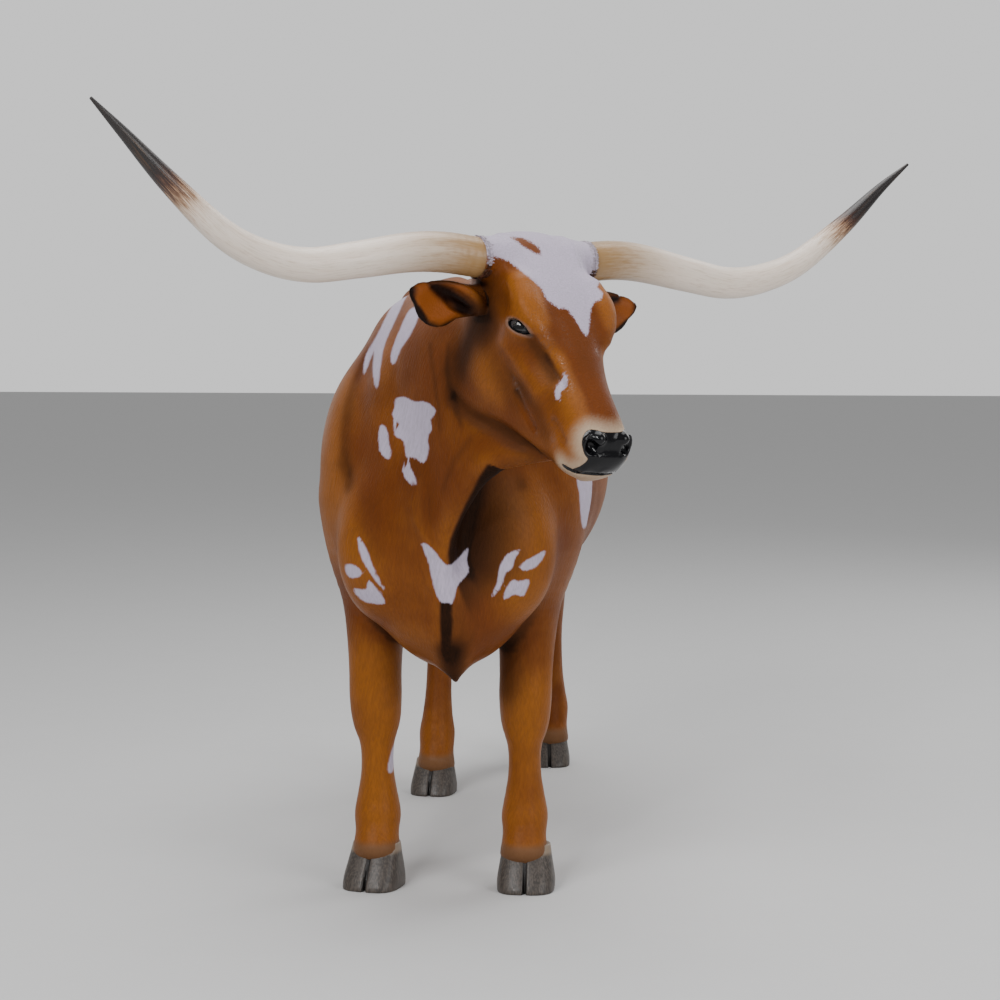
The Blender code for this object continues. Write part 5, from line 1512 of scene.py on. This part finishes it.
def grow_tufts(name, spots, lock, material, seed):
    """Tufts on a row of spots, each a place, a direction for the hair and one away from the skin."""
    mesh = bpy.data.meshes.new(name)
    mesh.from_pydata([tuple(place) for place, _, _ in spots], [], [])
    for key, column in (("lie", 1), ("rise", 2)):
        layer = mesh.attributes.new(key, 'FLOAT_VECTOR', 'POINT')
        layer.data.foreach_set("vector", np.array([tuple(s[column]) for s in spots], np.float32).ravel())
    thing = new_object(name, mesh)
    tree = Tree(name)
    number = tree.size("Seed", seed, 'NodeSocketInt')
    stray = tree.add("FunctionNodeRandomValue", {"Min": (-STRAY,) * 3, "Max": (STRAY,) * 3,
                                                 "Seed": number}, data_type='FLOAT_VECTOR')
    lie = tree.add("ShaderNodeVectorMath", {0: tree.kept("lie", 'FLOAT_VECTOR'), 1: stray})
    rise = tree.kept("rise", 'FLOAT_VECTOR')
    turn = tree.add("FunctionNodeAxesToRotation", {"Primary Axis": lie, "Secondary Axis": rise},
                    primary_axis='X', secondary_axis='Z')
    item = tree.add("GeometryNodeObjectInfo", {"Object": lock}, 4)
    tufts = tree.add("GeometryNodeInstanceOnPoints", {"Points": tree.source.outputs[0], "Instance": item,
                                                      "Rotation": turn})
    return tree.grow(thing, tufts, material)


def build_horn_collars(sizes):
    """Short carved hair that laps over the root of each horn."""
    lock = lock_shape("collar lock", 5, sizes.length, sizes.width, sizes.thick)
    brown = tuft_paint("brown tufts", sizes.brown_dark, sizes.brown)
    white = tuft_paint("white tufts", sizes.white_dark, sizes.white)
    for side, name in ((1, "left"), (-1, "right")):
        spots = {"brown": [], "white": []}
        for row in range(COLLAR_ROWS):
            for i in range(sizes.count):
                angle = 2 * math.pi * (i + 0.5 * row) / sizes.count
                outward = Vector((0, math.cos(angle), math.sin(angle)))
                radius = HORN[0][3] + 0.0015 - 0.0005 * row
                place = Vector((side * (HORN_CUT - 0.002 - 0.007 * row), 0, 0)) + outward * radius
                lie = CROWN.turn @ (Vector((side, 0, 0)) + 0.10 * outward)
                kind = "white" if angle < 1.9 or angle > 5.9 else "brown"
                spots[kind].append((CROWN.world(place) + SHIFT, lie, CROWN.turn @ outward))
        for kind, material in (("brown", brown), ("white", white)):
            thing = grow_tufts(f"horn_collar_{kind}_{name}", spots[kind], lock, material, COLLAR_SEED)
            settle(thing, [])
    bpy.data.objects.remove(lock)


def build_eyes(sizes):
    material = eye_paint(sizes)
    for side, name in ((1, "eye_left"), (-1, "eye_right")):
        place = eye_place(side)
        form = bmesh.new()
        bmesh.ops.create_uvsphere(form, u_segments=64, v_segments=40, radius=EYE_RADIUS - GAP)
        bmesh.ops.rotate(form, verts=form.verts, matrix=Matrix.Rotation(-math.pi / 2, 3, 'X'))
        outs = [v.co.y / (EYE_RADIUS - GAP) for v in form.verts]
        bmesh.ops.transform(form, matrix=Matrix.Translation(SHIFT) @ place.matrix(), verts=form.verts)
        bmesh.ops.recalc_face_normals(form, faces=form.faces)
        mesh = finished_mesh(name + "_painted", form)
        store(mesh, "out", outs)
        mesh.shade_smooth()
        mesh.materials.append(material)
        settle(new_object(name + "_painted", mesh), [name])


def build_hooves(sizes):
    material = hoof_paint(sizes)
    upright = Matrix(((1, 0, 0), (0, 0, 1), (0, -1, 0))).transposed()
    for name, x, toe, outward, size in FEET:
        turn = Matrix.Rotation(math.radians(outward), 3, 'Z')
        middle = Vector((x, toe, 0)) + turn @ Vector((0, 0.073 * size, 0))
        low, high = middle - Vector((0.09, 0.11, 0.0)), middle + Vector((0.09, 0.11, 0.11))
        clay = Clay([np.arange(low[i] - (0.012 if i == 2 else 0), high[i], sizes.grain) for i in range(3)])
        model_hoof(clay, Place(middle, turn @ upright), size)
        clay.carve(ball((x, toe, -1.0), (9, 9, 1.0)), 0.002)
        thing = new_object(name + "_painted", clay.mesh(name))
        keep_main_surface(thing)
        simplify(thing, sizes.faces)
        smooth_normals(thing, clay)
        marks = Marks(thing.data)
        local = (marks.points - np.array(middle)) @ np.array(turn)
        store(thing.data, "height", marks.points[:, 2] / (HOOF_TOP * size))
        # Where the painted shade of the front cleft lies.
        groove = step(0.009, 0.002, np.abs(local[:, 0])) * step(0.0, -0.02, local[:, 1])
        store(thing.data, "groove", groove)
        thing.data.materials.append(material)
        thing.data.transform(Matrix.Translation(SHIFT))
        settle(thing, [name])


GOLDEN_ANGLE = 2.39996  # turns from one lock to the next, so that they spread evenly
LOCK_PLACES = 22  # along a lock


def build_switch(sizes):
    """The long hair at the end of the tail, in wavy carved locks."""
    rows = np.array(SWITCH)
    lines = []
    for i in range(sizes.locks):
        turn = i * GOLDEN_ANGLE
        spread = math.sqrt((i + 0.5) / sizes.locks)
        line = []
        for share in np.arange(LOCK_PLACES) / (LOCK_PLACES - 1):
            end = 0.80 + 0.20 * (1 - spread) if i % 3 else 1.0
            at = spline(rows, np.array([share * end * (len(rows) - 1)]))[0]
            wide = max(at[3] - sizes.lock_radius * 0.6, 0.001) * spread
            angle = turn + 0.7 * share + 0.25 * math.sin(6.0 * share + turn)
            place = Vector((at[0] + wide * math.cos(angle), at[1] + wide * math.sin(angle), at[2]))
            radius = sizes.lock_radius * (0.45 + 0.75 * math.sin(math.pi * min(share * 1.15, 1.0) ** 0.8))
            line.append((place + SHIFT, max(radius * (1 - share ** 6), 0.0006)))
        lines.append(line)
    thing = path_object("tail_switch_locks", lines)
    tree = Tree("tail switch")
    around = tree.size("Sides", sizes.sides, 'NodeSocketInt')
    curve = tree.keep(tree.source.outputs[0], "along", tree.add("GeometryNodeSplineParameter", {}))
    ring = tree.add("GeometryNodeCurvePrimitiveCircle", {"Resolution": around, "Radius": 1.0})
    mesh = tree.tube(curve, ring)
    thing = tree.grow(thing, mesh, tuft_paint("switch hair", sizes.dark, sizes.light))
    settle(thing, ["tail_switch"])


# The studio lights: place, size and the name of the power's setting.
LIGHTS = {
    "key light": ((-2.6, -4.6, 4.6), 2.4, "key"),
    "fill light": ((4.2, -3.8, 2.6), 3.2, "fill"),
    "top light": ((0.2, 0.6, 5.2), 3.5, "top"),
    "back light": ((3.2, 4.2, 3.4), 2.6, "back"),
    "glint light": ((-1.3, -5.2, 3.4), 0.35, "glint"),
}
LIGHT_AIM = Vector((0, -0.3, 0.9))
SKY_FADE = (0.1, 0.8)  # where the surroundings turn from the front's strength to the back's


def build_stage(sizes):
    form = bmesh.new()
    bmesh.ops.create_grid(form, x_segments=1, y_segments=1, size=sizes.floor_size / 2)
    mesh = finished_mesh("floor", form)
    floor = new_object("floor", mesh)
    paint = Paint("pale floor", roughness=0.8)
    speckle = paint.noise(paint.place(), 8.0, 3.0)
    darker = [c * 0.97 for c in sizes.floor_colour]
    mesh.materials.append(paint.finish(paint.mix(speckle, sizes.floor_colour, darker)))
    world = bpy.data.worlds.new("studio")
    world.use_nodes = True
    around = world.node_tree.nodes.new("ShaderNodeTexCoord")
    parts = world.node_tree.nodes.new("ShaderNodeSeparateXYZ")
    fade = world.node_tree.nodes.new("ShaderNodeMapRange")
    fade.interpolation_type = 'SMOOTHSTEP'
    for socket, value in zip(("From Min", "From Max", "To Min", "To Max"),
                             (*SKY_FADE, sizes.sky_front, sizes.sky_back)):
        fade.inputs[socket].default_value = value
    background = world.node_tree.nodes["Background"]
    background.inputs["Color"].default_value = (1, 1, 1, 1)
    world.node_tree.links.new(around.outputs["Generated"], parts.inputs[0])
    world.node_tree.links.new(parts.outputs["Y"], fade.inputs["Value"])
    world.node_tree.links.new(fade.outputs[0], background.inputs["Strength"])
    bpy.context.scene.world = world
    for name, (place, size, setting) in LIGHTS.items():
        light = bpy.data.lights.new(name, 'AREA')
        light.energy = getattr(sizes, setting)
        light.size = size
        lamp = new_object(name, light)
        lamp.location = place
        lamp.rotation_euler = (LIGHT_AIM - Vector(place)).to_track_quat('-Z', 'Y').to_euler()
    eye = bpy.data.cameras.new("photograph")
    eye.lens = CAMERA_FOCAL * eye.sensor_width
    camera = new_object("photograph", eye)
    camera.location = CAMERA_PLACE + SHIFT
    camera.rotation_euler = (math.pi / 2 - CAMERA_PITCH, 0, CAMERA_YAW)
    bpy.context.scene.camera = camera


def length(label, about, value):
    return bpy.props.FloatProperty(name=label, description=about, default=value, min=0.0, precision=4,
                                   unit='LENGTH')


def tint(label, about, value):
    return bpy.props.FloatVectorProperty(name=label, description=about, default=value, size=3, min=0.0,
                                         max=1.0, subtype='COLOR')


def amount(label, about, value):
    return bpy.props.FloatProperty(name=label, description=about, default=value)


def count(label, about, value):
    return bpy.props.IntProperty(name=label, description=about, default=value, min=1)


class LonghornSkin(bpy.types.PropertyGroup):
    fine_grain: length("Head grain", "Size of the clay's cells on the head", 0.0036)
    coarse_grain: length("Body grain", "Size of the clay's cells on the body", 0.0080)
    skin_faces: count("Faces", "Most triangles in the skin", 190000)
    stroke_length: length("Stroke length", "Length of a carved hair stroke", 0.034)
    stroke_width: length("Stroke width", "Width of a carved hair stroke", 0.0042)
    stroke_depth: length("Stroke depth", "Depth of the carved hair", 0.0016)
    chestnut: tint("Chestnut", "The coat's main brown", (0.135, 0.035, 0.0060))
    # Amber is painted light: the warmer, lighter brown of raised and lit places, also used for a random
    # warmer tone.
    amber_highlight: tint("Amber", "The warmer brown of raised places", (0.262, 0.086, 0.014))
    shade: tint("Shade", "The dark brown of shaded places", (0.050, 0.0160, 0.0045))
    deep_shade: tint("Deep shade", "The darkest brown", (0.013, 0.0045, 0.0014))
    white: tint("White", "The white patches", (0.48, 0.42, 0.53))
    white_shade: tint("White shade", "The grey between white hairs", (0.36, 0.32, 0.39))
    cream: tint("Cream", "The pale ring round the nose and the chin", (0.44, 0.33, 0.23))
    nose: tint("Nose", "The black of the nose and lids", (0.003, 0.003, 0.004))
    eye_ring: tint("Eye ring", "The grey skin round the eye", (0.19, 0.155, 0.14))
    ear_inside: tint("Ear inside", "The orange inside of the ear", (0.24, 0.066, 0.012))
    # The ear's dark rim, and the painted shade in its cavity.
    ear_rim_and_shade: tint("Ear dark", "The ear's rim and its depth", (0.010, 0.0035, 0.002))
    coronet: tint("Coronet", "The hair just above the hooves", (0.16, 0.075, 0.034))


class LonghornHorns(bpy.types.PropertyGroup):
    root_depth: length("Root depth", "How far the horn goes on inside the head", 0.012)
    sides: count("Sides", "Faces round the horn", 72)
    steps: count("Steps along", "Faces along the horn", 260)
    ridge: length("Ridge height", "Height of the rings near the root", 0.0002)
    ridges: amount("Ridges", "Rings that the whole horn would have", 60.0)
    root: tint("Root", "Tan at the root", (0.31, 0.18, 0.070))
    ivory: tint("Ivory", "The middle of the horn", (0.80, 0.69, 0.59))
    streak: tint("Streak", "Orange streaks before the tip", (0.42, 0.20, 0.06))
    brown: tint("Brown", "Brown before the tip", (0.08, 0.025, 0.012))
    tip: tint("Tip", "The dark tip", (0.012, 0.009, 0.009))


class LonghornCollars(bpy.types.PropertyGroup):
    count: count("Tufts", "Tufts in each row round a horn", 96)
    length: length("Length", "Length of a tuft", 0.010)
    width: length("Width", "Half width of a tuft", 0.0013)
    thick: length("Thickness", "Half thickness of a tuft", 0.0009)
    brown: tint("Brown", "Brown tufts", (0.09, 0.022, 0.004))
    brown_dark: tint("Dark brown", "Between the brown tufts", (0.012, 0.004, 0.002))
    white: tint("White", "White tufts", (0.48, 0.42, 0.50))
    white_dark: tint("Grey", "Between the white tufts", (0.26, 0.22, 0.25))


class LonghornEyes(bpy.types.PropertyGroup):
    outer: tint("Outer", "The dark rim of the eye", (0.012, 0.012, 0.014))
    iris: tint("Iris", "The grey of the iris", (0.050, 0.048, 0.050))
    pupil: tint("Pupil", "The pupil", (0.004, 0.004, 0.005))


class LonghornHooves(bpy.types.PropertyGroup):
    grain: length("Grain", "Size of the clay's cells", 0.0026)
    faces: count("Faces", "Most triangles in a hoof", 24000)
    horn_dark: tint("Dark", "The hoof's dark grey", (0.032, 0.026, 0.022))
    horn_light: tint("Light", "The hoof's lighter streaks", (0.085, 0.068, 0.056))
    # Groove: painted shade in the cleft between the claws.
    groove: tint("Groove", "Between the claws", (0.010, 0.008, 0.007))
    band: tint("Band", "The lighter band at the top", (0.27, 0.20, 0.14))


class LonghornTail(bpy.types.PropertyGroup):
    locks: count("Locks", "Locks in the tail's switch", 90)
    lock_radius: length("Lock radius", "Radius of a lock", 0.0055)
    sides: count("Sides", "Faces round a lock", 7)
    dark: tint("Dark", "Between the hairs", (0.035, 0.012, 0.005))
    light: tint("Light", "On the hairs", (0.22, 0.070, 0.016))


class LonghornStage(bpy.types.PropertyGroup):
    floor_size: length("Floor", "Width of the floor", 40.0)
    floor_colour: tint("Floor colour", "A pale floor", (0.62, 0.62, 0.62))
    sky_front: amount("Surroundings in front", "Strength of the light from the camera's side", 0.28)
    sky_back: amount("Surroundings behind", "Strength of the light from behind the statue", 0.9)
    key: amount("Key light", "Power of the light from the front left, in watts", 195.0)
    fill: amount("Fill light", "Power of the light from the front right, in watts", 145.0)
    top: amount("Top light", "Power of the light above, in watts", 150.0)
    back: amount("Back light", "Power of the light behind, in watts", 70.0)
    glint: amount("Glint light", "Power of the small light that makes the varnish glint, in watts", 55.0)


class LONGHORN_OT_skin(bpy.types.Operator):
    """Model and paint the skin that covers the whole animal."""
    bl_idname = "longhorn.skin"
    bl_label = "Build the skin"

    def execute(self, context):
        build_skin(context.scene.longhorn_skin)
        return {'FINISHED'}


class LONGHORN_OT_horns(bpy.types.Operator):
    """Grow both horns along their curves."""
    bl_idname = "longhorn.horns"
    bl_label = "Build the horns"

    def execute(self, context):
        build_horns(context.scene.longhorn_horns)
        return {'FINISHED'}


class LONGHORN_OT_collars(bpy.types.Operator):
    """Lay short hair over the roots of the horns."""
    bl_idname = "longhorn.collars"
    bl_label = "Build the horn collars"

    def execute(self, context):
        build_horn_collars(context.scene.longhorn_collars)
        return {'FINISHED'}


class LONGHORN_OT_eyes(bpy.types.Operator):
    """Make both eyes."""
    bl_idname = "longhorn.eyes"
    bl_label = "Build the eyes"

    def execute(self, context):
        build_eyes(context.scene.longhorn_eyes)
        return {'FINISHED'}


class LONGHORN_OT_hooves(bpy.types.Operator):
    """Model the four cloven hooves."""
    bl_idname = "longhorn.hooves"
    bl_label = "Build the hooves"

    def execute(self, context):
        build_hooves(context.scene.longhorn_hooves)
        return {'FINISHED'}


class LONGHORN_OT_tail(bpy.types.Operator):
    """Make the long hair at the end of the tail."""
    bl_idname = "longhorn.tail"
    bl_label = "Build the tail's switch"

    def execute(self, context):
        build_switch(context.scene.longhorn_tail)
        return {'FINISHED'}


class LONGHORN_OT_stage(bpy.types.Operator):
    """Set up the floor, the lights and the camera."""
    bl_idname = "longhorn.stage"
    bl_label = "Build the stage"

    def execute(self, context):
        build_stage(context.scene.longhorn_stage)
        return {'FINISHED'}


GROUPS = {"longhorn_skin": LonghornSkin, "longhorn_horns": LonghornHorns,
          "longhorn_collars": LonghornCollars,
          "longhorn_eyes": LonghornEyes, "longhorn_hooves": LonghornHooves,
          "longhorn_tail": LonghornTail,
          "longhorn_stage": LonghornStage}
OPERATORS = (LONGHORN_OT_skin, LONGHORN_OT_horns, LONGHORN_OT_collars, LONGHORN_OT_eyes,
             LONGHORN_OT_hooves,
             LONGHORN_OT_tail, LONGHORN_OT_stage)


class LONGHORN_PT_panel(bpy.types.Panel):
    """The statue's pieces, with their sizes and colours."""
    bl_idname = "LONGHORN_PT_panel"
    bl_label = "Longhorn statue"
    bl_space_type = 'VIEW_3D'
    bl_region_type = 'UI'
    bl_category = "Longhorn"

    def draw(self, context):
        for operator, group in zip(OPERATORS, GROUPS):
            box = self.layout.box()
            box.operator(operator.bl_idname)
            for name in GROUPS[group].__annotations__:
                box.prop(getattr(context.scene, group), name)


CLASSES = (*GROUPS.values(), *OPERATORS, LONGHORN_PT_panel)


def register():
    for kind in CLASSES:
        bpy.utils.register_class(kind)
    for name, group in GROUPS.items():
        setattr(bpy.types.Scene, name, bpy.props.PointerProperty(type=group))


def unregister():
    for name in GROUPS:
        delattr(bpy.types.Scene, name)
    for kind in reversed(CLASSES):
        bpy.utils.unregister_class(kind)


def main():
    register()
    bpy.ops.longhorn.skin()
    bpy.ops.longhorn.horns()
    bpy.ops.longhorn.collars()
    bpy.ops.longhorn.eyes()
    bpy.ops.longhorn.hooves()
    bpy.ops.longhorn.tail()
    bpy.ops.longhorn.stage()
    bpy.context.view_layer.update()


if __name__ == "__main__":
    main()
